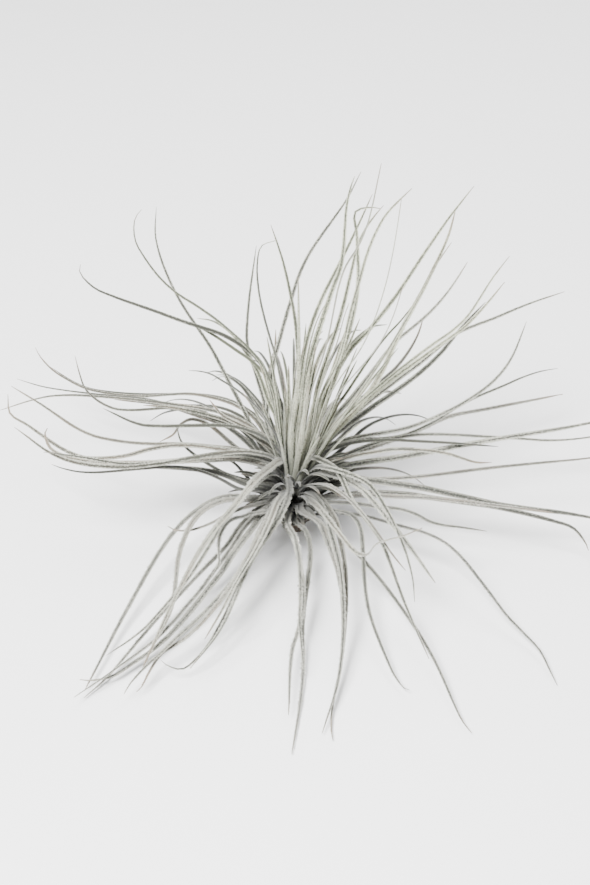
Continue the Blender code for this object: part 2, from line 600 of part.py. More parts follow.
def stem_foot(material):
    """The woody foot: a flat cut face, a waist and a flared top under the leaves."""
    profile = ((FOOT_RADIUS - 0.6, 0.0), (FOOT_RADIUS, 0.8), (FOOT_RADIUS - 0.3, 3.0),
               (FOOT_RADIUS + 1.2, 5.6), (FOOT_RADIUS + 1.6, FOOT_HEIGHT))
    return turned("stem_foot", profile, material)


def main():
    for item in list(bpy.data.objects):
        bpy.data.objects.remove(item)
    silver = finish("silver_leaf", (0.52, 0.54, 0.49), 0.85)
    wood = finish("stem_bark", (0.16, 0.11, 0.07), 0.9)
    stem_foot(wood)
    leaves = all_leaves()
    settle(leaves)
    for whorl in range(WHORLS):
        fuse(collar(whorl, silver), [blade(leaf, silver) for leaf in leaves if leaf.whorl == whorl])


if __name__ == "__main__":
    main()
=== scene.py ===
"""Air plant: a silvery rosette of felted, thread-tipped leaves on a short cut stem.

The leaves follow the same paths as the solids of the frame. Each path is swept with a
channelled section, and the silver scales that cover a leaf are grown on the swept
blade. Path sizes are in millimetres and meshes are in metres, with X to the right,
Y to the back and Z up.
"""

import logging
import math
from dataclasses import dataclass, field
from enum import Enum

import bmesh
import bpy
import numpy as np
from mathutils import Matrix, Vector, kdtree


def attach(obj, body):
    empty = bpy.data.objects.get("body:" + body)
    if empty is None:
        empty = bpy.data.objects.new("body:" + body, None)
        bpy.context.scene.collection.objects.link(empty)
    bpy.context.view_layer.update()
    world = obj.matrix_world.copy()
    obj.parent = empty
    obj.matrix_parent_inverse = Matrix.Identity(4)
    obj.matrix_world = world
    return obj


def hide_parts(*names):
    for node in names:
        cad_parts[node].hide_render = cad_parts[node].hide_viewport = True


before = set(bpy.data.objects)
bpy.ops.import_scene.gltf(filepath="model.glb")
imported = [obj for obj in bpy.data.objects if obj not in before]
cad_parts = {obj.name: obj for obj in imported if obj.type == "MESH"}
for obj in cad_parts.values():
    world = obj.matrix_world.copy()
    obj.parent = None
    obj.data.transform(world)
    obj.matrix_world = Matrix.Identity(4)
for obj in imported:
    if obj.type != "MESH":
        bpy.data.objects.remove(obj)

LOG = logging.getLogger("air_plant")
MM = 0.001
GOLDEN = 0.6180339887
# How finely a curve is drawn between two of its points, and its shortest chord in mm
SPAN_SAMPLES = 24
LEAST_CHORD = 0.1
# The middle of the rosette, and how far the shade about it reaches, in metres
HEART = (0.0, 0.0, 0.022)
HEART_SHADE = (0.010, 0.064)
# The size of the clumps of scales, which the blades' own specks share
CLUMPS = 1200.0
NOISE_MIDDLE = 0.5
# Each blade has a strip of its piece's map, and fills this share of it
MAP = "OFBake"
STRIP = 0.9
# What the finishes read of a blade and of its felt
BLADE_MARKS = ("share", "around", "tint", "felting")
FELT_MARKS = ("share", "tint")

# Each row is one leaf: how near its middle and its tip are, then its path as seen from
# a raised point in front of the plant: across and up from the heart.
LEAVES = (
    # Upright tuft, left to right
    ((15, 45), ((-9.5, 38), (-20, 69.5), (-50, 99), (-80, 120), (-98, 145), (-101, 157), (-95, 166.5))),
    ((-5, 5), ((-10.5, 40), (-20, 67.5), (-40, 84.5), (-80, 101), (-118, 115), (-133, 124), (-133, 132.5))),
    ((0, -20), ((-11, 42), (-18, 61), (-30, 76), (-46, 87.5), (-62, 95), (-78, 100))),
    ((-45, -75), ((-22, 28), (-35, 50), (-50, 77.5), (-72, 111), (-82, 133), (-86.5, 150), (-86, 168))),
    ((-35, -60), ((-14, 25), (-19.5, 46), (-24, 64), (-29.5, 82), (-29, 105), (-24, 144))),
    ((45, 85), ((-6, 42), (-12, 74), (-18, 94.5), (-22.5, 115), (-23.5, 133), (-20, 145), (-11, 147.5))),
    ((-10, 10), ((-17, 36), (-14, 68), (-9, 88), (-2, 112), (5, 132), (16, 150), (31, 171), (41, 190))),
    ((-30, -35), ((-18.5, 40), (-17.5, 55), (-14.5, 70), (-12.3, 80), (-12, 92))),
    ((20, 45), ((1, 40), (2, 62), (1.5, 80), (0, 98), (-3.5, 117), (-8, 136), (-15, 157))),
    ((40, 75), ((1, 45), (2.3, 70), (2.2, 100), (2, 124.5))),
    ((5, 0), ((2, 45), (4, 66), (8, 88), (16, 110), (26, 130), (36, 150), (48, 176))),
    ((35, 60), ((4, 45), (6, 65), (10, 86), (15, 101), (20, 109.5))),
    ((25, 70), ((6, 50), (9, 72), (15, 92), (23, 116), (29, 133), (31, 155), (33, 175), (37, 187))),
    ((55, 120), ((10, 48), (15, 66), (20.5, 86), (25, 108), (30, 128), (38, 141), (45, 157), (53.5, 195))),
    ((10, 25), ((12, 50), (17, 66), (23, 84), (29, 103), (35, 128), (40, 147), (48, 161), (55, 169))),
    ((30, 40), ((14, 50), (20, 66), (26, 82), (30.5, 100), (33.5, 108.5))),
    ((45, 90), ((16, 52), (23, 66), (29, 80), (34, 100), (40, 122), (47, 145), (57, 164), (72.5, 179.5))),
    ((35, 50), ((17, 48), (25, 66), (31, 82), (36, 100), (39.3, 120), (38.5, 150), (38.2, 169.5),
     (43, 168.3), (53, 167))),
    ((60, 110), ((18, 45), (28, 62), (37, 74), (45, 88), (52, 106), (58, 127), (62.5, 150), (66, 173))),
    ((30, 65), ((14, 42), (24, 62), (34, 79), (46, 92), (62, 112), (80, 139), (96, 162), (111, 181))),
    ((55, 70), ((18, 38), (30, 56), (42, 70), (53, 84), (60, 98), (67, 119))),
    ((20, 30), ((20, 24), (32, 36), (44, 50), (54, 66), (66, 92), (80, 118), (95, 150), (100, 168))),
    ((0, -5), ((16, 32), (30, 50), (42, 68), (55, 86), (66, 98), (77.5, 113))),
    ((45, 80), ((20, 28), (34, 44), (52, 70), (62, 86), (74, 106), (90, 136), (97, 146))),
    ((-20, -45), ((18, 30), (32, 46), (48, 66), (62, 84), (72, 92.5), (84, 103), (96, 117), (107, 134))),
    ((-60, -100), ((24, 26), (46, 52), (64, 70), (72, 81), (77, 91), (80, 101))),
    ((35, 75), ((18, 24), (30, 37), (50, 55), (70, 71), (90, 86), (104, 96.5), (124, 126), (133, 137.5))),
    ((5, 15), ((20, 24), (36, 40), (56, 58), (74, 71), (92, 84), (104, 92.5), (118, 107), (130, 121.5))),
    ((-15, -35), ((22, 25), (40, 42), (60, 58), (80, 73), (100, 89.5), (120, 97.5), (145, 108),
     (167, 115.5))),
    ((-40, -70), ((22, 22), (40, 38), (60, 52), (76, 64), (90, 77), (103, 93), (118, 109))),
    # Right side, top to bottom
    ((-25, -60), ((16, 17), (30, 23.5), (50, 27), (70, 31), (90, 39), (110, 50), (124, 61), (134, 74),
     (143.5, 97))),
    ((-45, -85), ((15, 14), (30, 20.5), (48, 23.5), (66, 26), (85, 34), (104, 46), (130, 57.5),
     (148, 65), (163, 68))),
    ((-60, -100), ((24, 9.5), (40, 16), (56, 22), (72, 27.5), (88, 35), (98, 38.8), (115, 42), (166, 52))),
    ((-35, -45), ((24, 10), (42, 18.5), (60, 24), (76, 26.6), (92, 26.8), (145, 24), (160, 23.2),
     (182, 25.2), (198, 28))),
    ((-10, -15), ((16, 14), (34, 21.5), (56, 23.5), (75, 22.8), (98, 21.5), (126, 19.5))),
    ((-15, -20), ((28, 5.5), (45, 9.5), (62, 12), (80, 15.3), (98, 19), (134, 25.5), (166, 30.8),
     (182, 34), (197, 37.5))),
    ((5, 25), ((24, 9), (36, 12.8), (50, 16), (64, 17.8), (78, 17.2), (92, 15.6), (115, 9.2), (122, 9.8))),
    ((0, 0), ((30, 1), (46, -1), (62, -0.5), (80, 0.9), (120, 6), (145, 8.6), (178, 11.8), (195, 14))),
    ((10, 10), ((36, -2), (52, -2.8), (70, -5), (90, -9.5), (130, -17), (168, -21.8), (182, -24.2),
     (198, -27.5))),
    ((10, 30), ((24, -12), (42, -10), (64, -10), (86, -12), (126, -18.5), (166, -28.6), (177, -34),
     (182, -45))),
    ((25, 40), ((20, -12.5), (40, -12), (64, -12), (86, -13), (124, -17.2), (140, -19), (160, -21.5))),
    ((35, 50), ((18, -15), (34, -16), (52, -18), (66, -19.5), (76, -23), (87, -28.6), (96, -29.6),
     (119, -33))),
    ((40, 85), ((26, -21.5), (42, -23.5), (64, -29.5), (84, -35.5), (98, -44), (122, -73), (136, -91),
     (149, -103), (162.5, -128.5))),
    # Arching over in front, to the right
    ((55, 95), ((6, 12.8), (13, 13.6), (22, 9), (29, 0), (35, -12), (43, -24), (53, -38), (68, -77),
     (83, -112))),
    ((55, 80), ((5, 4), (13, 6.5), (24, 5), (36, 0.5), (46, -4), (53, -13), (67, -40), (71, -56),
     (74, -77))),
    ((50, 85), ((4, 1), (14, 3), (26, 0), (38, -5), (48, -14), (58, -26), (78, -53), (87, -65))),
    ((60, 75), ((6, -3), (16, -4), (28, -9), (38, -18), (48, -30), (58, -43.5), (70, -56.5))),
    ((75, 120), ((6, -7), (12, -11), (17, -22), (22, -38), (28, -58), (30, -80), (29.5, -105),
     (26, -130), (17, -158.5))),
    ((65, 120), ((12, -10), (19, -16), (25, -26), (28.5, -40), (31.5, -60), (31.5, -85), (29, -112),
     (22, -150), (23.5, -163))),
    ((60, 120), ((12, -18), (22, -29), (31, -39), (50, -59.5), (72, -89), (86, -112), (104, -151),
     (109.5, -158))),
    ((50, 100), ((22, -20), (34, -22), (40, -29), (42, -44), (43, -62), (46, -83), (61, -121),
     (67, -130.5), (71, -131.5))),
    ((60, 85), ((12, -16), (24, -30), (36, -44.5), (43, -49), (47, -44.5), (52, -40), (64, -37),
     (79, -31))),
    ((45, 80), ((4, -21.5), (11, -22.5), (17, -28), (21, -38), (26, -54), (29, -72), (29.5, -92))),
    ((60, 120), ((-8, -25), (-3, -31), (1, -42), (4, -60), (5, -78), (2, -94), (-2, -108), (-4, -147))),
    ((60, 125), ((0, -28.5), (5.5, -30.5), (9, -38), (9.3, -52), (6.5, -72), (4.5, -92), (5, -114),
     (3.5, -136), (-2, -171))),
    ((65, 100), ((-6, -27), (-1, -34), (2.5, -50), (3.5, -68), (3, -88), (5.5, -120))),
    # Arching over in front, to the left
    ((75, 110), ((-2.2, 3), (-3.5, -8), (-8, -20), (-15, -31), (-23, -44), (-31, -59), (-38, -76),
     (-47, -95), (-65, -118))),
    ((70, 100), ((-6, -8), (-12, -24), (-22, -41), (-34, -64), (-43, -84), (-55, -105), (-68, -117.5),
     (-77, -119), (-83, -113))),
    ((60, 100), ((-3, 9), (-8, 11.5), (-15, 6.5), (-25, -3.5), (-37, -17), (-50, -32), (-62, -50),
     (-80, -86), (-95, -119))),
    ((50, 90), ((-14, 3), (-26, -7), (-38, -20), (-48, -34), (-58, -50), (-68, -65), (-80, -79),
     (-96, -95.5), (-117, -110))),
    ((30, 100), ((-24, -12), (-36, -11), (-47, -12), (-58, -18), (-70, -28), (-82, -43), (-105, -83),
     (-130, -131))),
    ((40, 90), ((-26, -14), (-40, -13.5), (-52, -17), (-61, -24), (-68, -36), (-72.5, -50), (-74, -66),
     (-77, -82), (-92, -112))),
    ((25, 30), ((-20, -16), (-32, -18.5), (-42, -22.5), (-52, -28), (-63, -32), (-73, -32.6),
     (-79, -29.8))),
    ((35, 60), ((-18, -21), (-30, -24), (-40, -26), (-45.5, -33), (-47.5, -43), (-47, -52), (-52, -62))),
    ((60, 110), ((-12, -12), (-20, -19.5), (-30, -31), (-41, -47), (-54, -65), (-67, -81), (-82, -97),
     (-115, -121.5), (-137, -136))),
    ((60, 100), ((-14, -16), (-24, -27), (-36, -43), (-50, -63), (-64, -80), (-80, -97.5),
     (-98, -112.5), (-122, -127.5), (-128, -125), (-133, -125.5))),
    ((70, 110), ((-9, -8), (-13, -18), (-22, -36), (-34, -58), (-48, -76), (-62, -91), (-76, -103),
     (-100, -124.5), (-106, -134))),
    ((70, 105), ((-10, -14), (-17, -28), (-28, -48), (-42, -70), (-58, -88), (-74, -102), (-87, -112),
     (-93, -128), (-98, -132.5))),
    ((75, 90), ((-7, -10), (-14, -26), (-25, -46), (-37, -66), (-44, -80), (-56, -100))),
    ((50, 100), ((-16, -14), (-28, -26), (-42, -42), (-58, -58), (-72, -73), (-86, -88), (-112, -118),
     (-131, -135.5))),
    # Left side, top to bottom
    ((-55, -110), ((-18, 30), (-30, 40.5), (-42, 46.5), (-56, 49.5), (-95, 50.3), (-114, 52.2),
     (-131, 56), (-155, 71), (-161, 81))),
    ((-70, -120), ((-16, 31), (-28, 42), (-42, 48.5), (-58, 51.5), (-96, 52), (-116, 53.5), (-132, 57),
     (-152, 69))),
    ((-30, -60), ((-16, 24), (-30, 30.5), (-46, 35), (-62, 40), (-78, 43.3), (-96, 42.2), (-112, 43),
     (-129, 54), (-136.5, 76))),
    ((-40, -70), ((-18, 26), (-34, 35), (-52, 41.5), (-72, 45), (-118, 50.2), (-140, 51.3), (-156, 50),
     (-183, 42))),
    ((-55, -95), ((-20, 30), (-38, 41), (-58, 46.5), (-80, 48.5), (-124, 52), (-158, 57), (-172.5, 61.5))),
    ((20, 10), ((-8, 14), (-16, 22), (-28, 29), (-42, 32.3), (-80, 32.2), (-96, 33.2), (-119, 43.2))),
    ((-10, -30), ((-18, 12), (-34, 16.5), (-50, 19), (-70, 20.8), (-90, 21), (-110, 22.8), (-130, 28),
     (-158, 46), (-176, 57))),
    ((5, -10), ((-18, 10), (-34, 14.5), (-52, 18.5), (-70, 20.2), (-86, 18.6), (-104, 13.8),
     (-120, 12.2), (-136, 14), (-166, 33), (-179, 43), (-178, 52))),
    ((35, 30), ((-12, 11.5), (-24, 14.8), (-38, 16), (-54, 14), (-92, 7.8), (-112, 6.8), (-132, 9.5),
     (-150, 15.2), (-174, 31.5))),
    ((15, 10), ((-16, 6), (-30, 10.5), (-46, 11.3), (-62, 10.8), (-100, 8.8), (-138, 12), (-150, 17.2),
     (-156, 23.5), (-153.5, 31))),
    ((25, 40), ((-14, 9), (-28, 13.2), (-44, 14.2), (-62, 12.5), (-82, 9.8), (-104, 8.6), (-124, 11),
     (-156, 15.6))),
    ((10, 20), ((-24, -8), (-34, -7.5), (-46, -1), (-58, 4), (-74, 6.8), (-92, 6), (-126, 3.4),
     (-140, 4.8), (-151, 8.5))),
    ((-10, -20), ((-24, -3), (-34, -0.5), (-44, 3), (-54, 8.8), (-63, 15), (-69, 20.5), (-72, 26),
     (-72.8, 32))),
    ((-35, -40), ((-20, 6), (-30, 13), (-38, 20), (-47, 28), (-55, 34), (-64, 36.4), (-70.5, 33.8),
     (-73.5, 28.5), (-84, 22.3))),
    ((25, 30), ((-10, 24), (-16, 34), (-24, 44), (-34, 53), (-46, 60.8), (-55, 65.5), (-66, 66.6))),
    ((0, -10), ((-8, 18), (-16, 25), (-27, 30), (-37, 34.5), (-45, 39), (-53, 48.5))),
    ((-60, -95), ((-14, 10), (-24, 18), (-33, 25.5), (-42, 31.5), (-54, 37.5), (-68, 42.3), (-84, 45.5),
     (-112, 48.6))),
    ((-15, -25), ((-12, 16), (-22, 25), (-34, 32), (-48, 37.5), (-62, 41), (-78, 44), (-94, 45))),
    ((-20, -30), ((-18, -6), (-26, -3), (-32, 3.5), (-38, 9.5), (-48, 14))),
    ((0, -10), ((-22, -7), (-32, -3.5), (-44, 1.5), (-56, 4.6), (-86, 6.9), (-104, 7))),
)

Points = np.ndarray
Colour = tuple[float, float, float]
Place = tuple[float, float, float]
Span = tuple[float, float]
Feed = bpy.types.NodeSocket | float | tuple | str


class Slot(Enum):
    """The record's material slots."""

    STEM_BARK = "stem_bark"
    OLD_LEAF = "old_leaf"
    SILVER_LEAF = "silver_leaf"
    YOUNG_LEAF = "young_leaf"


@dataclass
class Leaf:
    """One leaf: its number, its whorl, its path and the way out of the stem at its root."""

    number: int
    whorl: int
    path: Points
    outward: Points


@dataclass(frozen=True)
class Sight:
    """The raised point in front of the plant from which the leaf rows are given, in mm."""

    heart_height: float = 38.0
    distance: float = 900.0
    tilt: float = math.radians(35)

    def place(self, seen: Points) -> Points:
        """Turn points given as across, up and near into x, y and z.

        Args:
            seen: Points, with across, up and near on the last axis.

        Returns:
            The same points as x, y and z.
        """
        across, up, near = np.moveaxis(np.asarray(seen, float), -1, 0)
        shrink = 1 - near / self.distance
        sin, cos = math.sin(self.tilt), math.cos(self.tilt)
        return np.stack([across * shrink,
                         up * shrink * sin - near * cos,
                         self.heart_height + up * shrink * cos + near * sin], axis=-1)

    def sighted(self, points: Points) -> Points:
        """Turn x, y and z back into across, up and near.

        Args:
            points: Points, with x, y and z on the last axis.

        Returns:
            The same points as across, up and near.
        """
        x, y, z = np.moveaxis(np.asarray(points, float), -1, 0)
        sin, cos = math.sin(self.tilt), math.cos(self.tilt)
        rise = z - self.heart_height
        near = rise * sin - y * cos
        shrink = 1 - near / self.distance
        return np.stack([x / shrink, (y * sin + rise * cos) / shrink, near], axis=-1)

    def floor_near(self, up: Points, height: float) -> Points:
        """How near a point seen at this height in the view is when it lies on the surface.

        Args:
            up: How far up in the view the points are.
            height: How high above the surface they lie.

        Returns:
            How near the points are.
        """
        sin, cos = math.sin(self.tilt), math.cos(self.tilt)
        return (height - self.heart_height - up * cos) / (sin - up * cos / self.distance)


@dataclass(frozen=True)
class Bulb:
    """The short stem: a woody foot with the leaf whorls stacked above it, in mm."""

    whorls: int = 9
    foot_height: float = 7.0
    foot_radius: float = 6.5
    pitch: float = 4.2
    gap: float = 0.3
    widest: float = 11.5
    middle: float = 20.0
    half_height: float = 25.5

    def radius(self, height: float) -> float:
        """The bulb's radius at a height."""
        share = (height - self.middle) / self.half_height
        return self.widest * math.sqrt(1 - share * share)

    def whorl_height(self, whorl: int) -> float:
        """The middle height of a whorl; the lowest whorl is number 0."""
        return self.foot_height + self.gap + (whorl + 0.5) * self.pitch


def scatter(index: int, stride: float = 1.0, start: float = 0.0) -> float:
    """A number from 0 to 1 that spreads evenly over what is counted, by golden steps."""
    return (index * GOLDEN * stride + start) % 1.0


def lengths(points: Points) -> Points:
    """The distance along a path at each of its points."""
    steps = np.linalg.norm(np.diff(points, axis=0), axis=1)
    return np.concatenate([[0.0], np.cumsum(steps)])


def resample(points: Points, stations: Points) -> Points:
    """The path at the given distances along it."""
    run = lengths(points)
    return np.stack([np.interp(stations, run, points[:, axis]) for axis in range(3)], axis=1)


def smooth_path(points: Points, count: int) -> Points:
    """Draw a centripetal curve through points.

    Args:
        points: The points that the curve passes through.
        count: How many samples it gets.

    Returns:
        Evenly spaced samples of the curve.
    """
    ends = np.vstack([2 * points[0] - points[1], points, 2 * points[-1] - points[-2]])
    fine = []
    for index in range(1, len(ends) - 2):
        p0, p1, p2, p3 = ends[index - 1:index + 3]
        k0, k1, k2 = (math.sqrt(max(np.linalg.norm(b - a), LEAST_CHORD))
                      for a, b in ((p0, p1), (p1, p2), (p2, p3)))
        leave = ((p1 - p0) / k0 - (p2 - p0) / (k0 + k1) + (p2 - p1) / k1) * k1
        arrive = ((p2 - p1) / k1 - (p3 - p1) / (k1 + k2) + (p3 - p2) / k2) * k1
        for t in np.linspace(0, 1, SPAN_SAMPLES, endpoint=False):
            fine.append((2 * t**3 - 3 * t**2 + 1) * p1 + (t**3 - 2 * t**2 + t) * leave
                        + (3 * t**2 - 2 * t**3) * p2 + (t**3 - t**2) * arrive)
    fine.append(points[-1])
    fine = np.array(fine)
    return resample(fine, np.linspace(0, lengths(fine)[-1], count))


def arched(start: Points, outward: Points, steps: list[Span]) -> list[Points]:
    """Lay out points that follow on from a start.

    Args:
        start: The first point.
        outward: The level way that they lead.
        steps: The length and the climb from each point to the next.

    Returns:
        The start and the points that follow it.
    """
    points = [start]
    for length, climb in steps:
        points.append(points[-1] + length * (outward * math.cos(climb)
                                             + np.array([0.0, 0.0, math.sin(climb)])))
    return points


@dataclass
class Rosette:
    """Where every long leaf runs, from its root in the stem to its tip, in mm."""

    sight: Sight = Sight()
    bulb: Bulb = Bulb()
    # Inside the cup a leaf climbs from its whorl, and outside it follows its own path
    centre: Points = field(default_factory=lambda: np.array([0.0, 0.0, 22.0]))
    cup_reach: float = 39.0
    cup_merge: float = 8.0
    cup_samples: int = 200
    root_sink: float = 3.0
    root_least: float = 0.8
    # How far the stem leans for the steep leaves, and how steep they are when it does
    lean_back: float = math.tan(math.radians(15))
    lean_right: float = math.tan(math.radians(10))
    lean_from: float = math.radians(25)
    lean_full: float = math.radians(70)
    # The breadth of the solid blades, by which the leaves are kept clear of each other
    width_at: tuple[float, ...] = (0.0, 0.07, 0.16, 0.35, 0.60, 0.82, 1.0)
    width: tuple[float, ...] = (6.8, 6.0, 4.9, 3.6, 2.5, 1.6, 0.9)
    thickness: float = 0.85
    root_overlap: float = 1.15
    slim_share: float = 0.3
    # How leaves that come too close are bent apart, and what stays as it is
    samples: int = 90
    stretch: int = 9
    reach_share: float = 0.32
    reach_least: float = 0.55
    clearance: float = 1.2
    least_push: float = 0.05
    rounds: int = 100
    spread: float = 10.0
    held_root: float = 4.0
    free_from: float = 12.0
    shared_root: float = 26.0
    # How softly a leaf comes down to lie along the surface, and how high above it
    floor_clearance: float = 0.3
    landing: float = 7.0
    # The leaves of the far side: spread, rise and drop go from the lowest to the highest
    back_leaves: int = 24
    back_spread: Span = (math.radians(54), math.radians(20))
    back_rise: Span = (math.radians(4), math.radians(66))
    back_drop: Span = (math.radians(40), math.radians(62))
    back_length: Span = (105.0, 165.0)
    back_points: int = 9
    back_arch: float = 1.6
    back_arch_power: float = 1.5
    back_arch_start: float = 0.2
    back_turn: float = 0.35

    @property
    def count(self) -> int:
        """How many long leaves there are: those of the rows and those of the far side."""
        return len(LEAVES) + self.back_leaves

    def landed(self, up: Points, near: Points) -> Points:
        """Ease depths so that a leaf lies down on the surface and stays above it.

        Args:
            up: How far up in the view the points are.
            near: How near they would be without a surface.

        Returns:
            How near the points are.
        """
        floor = self.sight.floor_near(up, self.floor_clearance + self.thickness)
        return floor + self.landing * np.logaddexp(0, (near - floor) / self.landing)

    def seen_path(self, near: Span, path: tuple[Span, ...], root_near: float) -> Points:
        """Lay out a leaf of the rows, with its depth running smoothly from root to tip.

        Args:
            near: How near the leaf's middle and its tip are.
            path: The leaf's points, as across and up.
            root_near: How near its root is.

        Returns:
            The leaf's points as x, y and z.
        """
        path = np.array(path, float)
        share = lengths(np.vstack([[0, 0], path]))[1:]
        share = share / share[-1]
        middle, tip = near
        depth = (root_near * (1 - share) * (1 - 2 * share) + middle * 4 * share * (1 - share)
                 + tip * share * (2 * share - 1))
        return self.sight.place(np.column_stack([path, self.landed(path[:, 1], depth)]))

    def back_path(self, index: int) -> Points:
        """Lay out a leaf of the far side: it leaves the bulb to the back and arches over.

        Args:
            index: The leaf's number in the fan.

        Returns:
            The leaf's points as x, y and z.
        """
        share = (index + 0.5) / self.back_leaves
        swing = 2 * scatter(index) - 1
        spread, rise, drop = (low + share * (high - low) for low, high in
                              (self.back_spread, self.back_rise, self.back_drop))
        azimuth = math.pi / 2 + spread * swing
        least, most = self.back_length
        length = least + scatter(index, stride=7) * (most - least)
        step = length / self.back_points
        point = self.centre.copy()
        points = []
        for number in range(self.back_points):
            along = (number + 0.5) / self.back_points
            angle = rise - drop * (self.back_arch * along**self.back_arch_power
                                   - self.back_arch_start)
            turn = azimuth + self.back_turn * swing * along
            point = point + step * np.array([math.cos(angle) * math.cos(turn),
                                             math.cos(angle) * math.sin(turn), math.sin(angle)])
            points.append(point)
        seen = self.sight.sighted(np.array(points))
        seen[:, 2] = self.landed(seen[:, 1], seen[:, 2])
        return self.sight.place(seen)

    def cup_edge(self, path: Points) -> Points:
        """Where a path leaves the sphere in which leaves follow their cups."""
        fine = smooth_path(path, self.cup_samples)
        return fine[np.argmax(np.linalg.norm(fine - self.centre, axis=1) > self.cup_reach)]

    def stem_axis(self, point: Points) -> Points:
        """Find the stem's direction for a leaf: it leans more for steep leaves.

        Args:
            point: A point that the leaf passes through.

        Returns:
            A direction of length one.
        """
        offset = point - self.centre
        rise = math.atan2(offset[2], math.hypot(offset[0], offset[1]))
        lean = min(1.0, max(0.0, (rise - self.lean_from) / (self.lean_full - self.lean_from)))
        axis = np.array([self.lean_right * lean, self.lean_back * lean, 1.0])
        return axis / np.linalg.norm(axis)

    def rise_of(self, path: Points) -> float:
        """Find how steeply a leaf leaves the bulb.

        Args:
            path: The leaf's points.

        Returns:
            Its angle above the level of the leaning stem, in radians.
        """
        edge = self.cup_edge(path)
        axis = self.stem_axis(edge)
        height = (edge - self.centre) @ axis
        return math.atan2(height, np.linalg.norm(edge - self.centre - height * axis))

    def rooted(self, number: int, whorl: int, path: Points) -> Leaf:
        """Carry a leaf back to its root.

        Args:
            number: The leaf's number.
            whorl: The whorl that it grows from.
            path: Its points outside the cup of its whorl.

        Returns:
            The whole leaf, from inside its whorl, up its cup and out along its path.
        """
        edge = self.cup_edge(path)
        axis = self.stem_axis(edge)
        centre = np.array([0.0, 0.0, self.bulb.whorl_height(whorl)])
        outward = edge - centre
        outward = outward - (outward @ axis) * axis
        outward[2] = 0
        outward /= np.linalg.norm(outward)
        radius = self.bulb.radius(centre[2])
        rim = centre + outward * radius
        sunk = centre + outward * max(radius - self.root_sink, self.root_least)
        beyond = path[np.linalg.norm(path - self.centre, axis=1)
                      > self.cup_reach + self.cup_merge]
        whole = smooth_path(np.vstack([sunk, rim, edge, beyond]), self.samples)
        return Leaf(number, whorl, whole, outward)

    def leaves(self) -> list[Leaf]:
        """Lay out every long leaf, dealt to the whorls by how steeply it rises.

        Returns:
            The leaves, from the flattest to the steepest, kept clear of each other.
        """
        paths = [self.seen_path(near, path, 0.0) for near, path in LEAVES]
        paths += [self.back_path(index) for index in range(self.back_leaves)]
        order = sorted(range(len(paths)), key=lambda number: self.rise_of(paths[number]))
        leaves = []
        for rank, number in enumerate(order):
            whorl = rank * self.bulb.whorls // len(order)
            leaf = self.rooted(number, whorl, paths[number])
            if number < len(LEAVES):
                height = self.bulb.whorl_height(whorl)
                rim = leaf.outward * self.bulb.radius(height) + np.array([0.0, 0.0, height])
                leaf = self.rooted(number, whorl,
                                   self.seen_path(*LEAVES[number], self.sight.sighted(rim)[2]))
            leaves.append(leaf)
        self.settle(leaves)
        return leaves

    def leaf_width(self, share: Points, whorl: int) -> Points:
        """Find the solid blade's width along a leaf.

        Args:
            share: Shares of the leaf's length.
            whorl: The whorl that it grows from.

        Returns:
            The width at each share.
        """
        room = (2 * math.pi * self.bulb.radius(self.bulb.whorl_height(whorl))
                * self.root_overlap * self.bulb.whorls)
        root = min(1.0, room / (self.width[0] * self.count))
        slim = root + (1 - root) * np.clip(np.asarray(share) / self.slim_share, 0, 1)
        return np.interp(share, self.width_at, self.width) * slim

    def settle(self, leaves: list[Leaf]) -> None:
        """Bend leaves that come too close apart, each a little, as smooth curves.

        Args:
            leaves: The leaves, whose paths are changed.
        """
        share = np.linspace(0, 1, self.samples)
        reach = np.array([self.reach_share * self.leaf_width(share, leaf.whorl)
                          + self.reach_least for leaf in leaves])
        points = np.array([leaf.path for leaf in leaves])
        runs = np.array([lengths(leaf.path) for leaf in leaves])
        ease = np.clip((runs - self.held_root) / (self.free_from - self.held_root), 0, 1)
        spacing = runs[:, -1] / (self.samples - 1)
        steps = np.abs(np.subtract.outer(np.arange(self.samples), np.arange(self.samples)))
        spread = np.exp(-0.5 * (steps[None] * spacing[:, None, None] / self.spread) ** 2)
        fused = np.array([[one.whorl == two.whorl for two in leaves] for one in leaves])
        lowest = self.floor_clearance + self.thickness
        for _ in range(self.rounds):
            shift = np.zeros_like(points)
            weight = np.zeros_like(ease)
            for gap, one, i, two, j in self.contacts(points, reach, fused, runs):
                held = ease[one, i] + ease[two, j]
                if held == 0:
                    continue
                apart = points[one, i] - points[two, j]
                apart = apart / max(np.linalg.norm(apart), 1e-6)
                for leaf, sample, way in ((one, i, 1), (two, j, -1)):
                    near = spread[leaf, sample]
                    shift[leaf] += (way * gap * ease[leaf, sample] / held * near)[:, None] * apart
                    weight[leaf] += near
            points += shift / np.maximum(weight, 1)[:, :, None] * ease[:, :, None]
            points[:, :, 2] = np.where(ease > 0, np.maximum(points[:, :, 2], lowest),
                                       points[:, :, 2])
        for leaf, path in zip(leaves, points):
            leaf.path = path

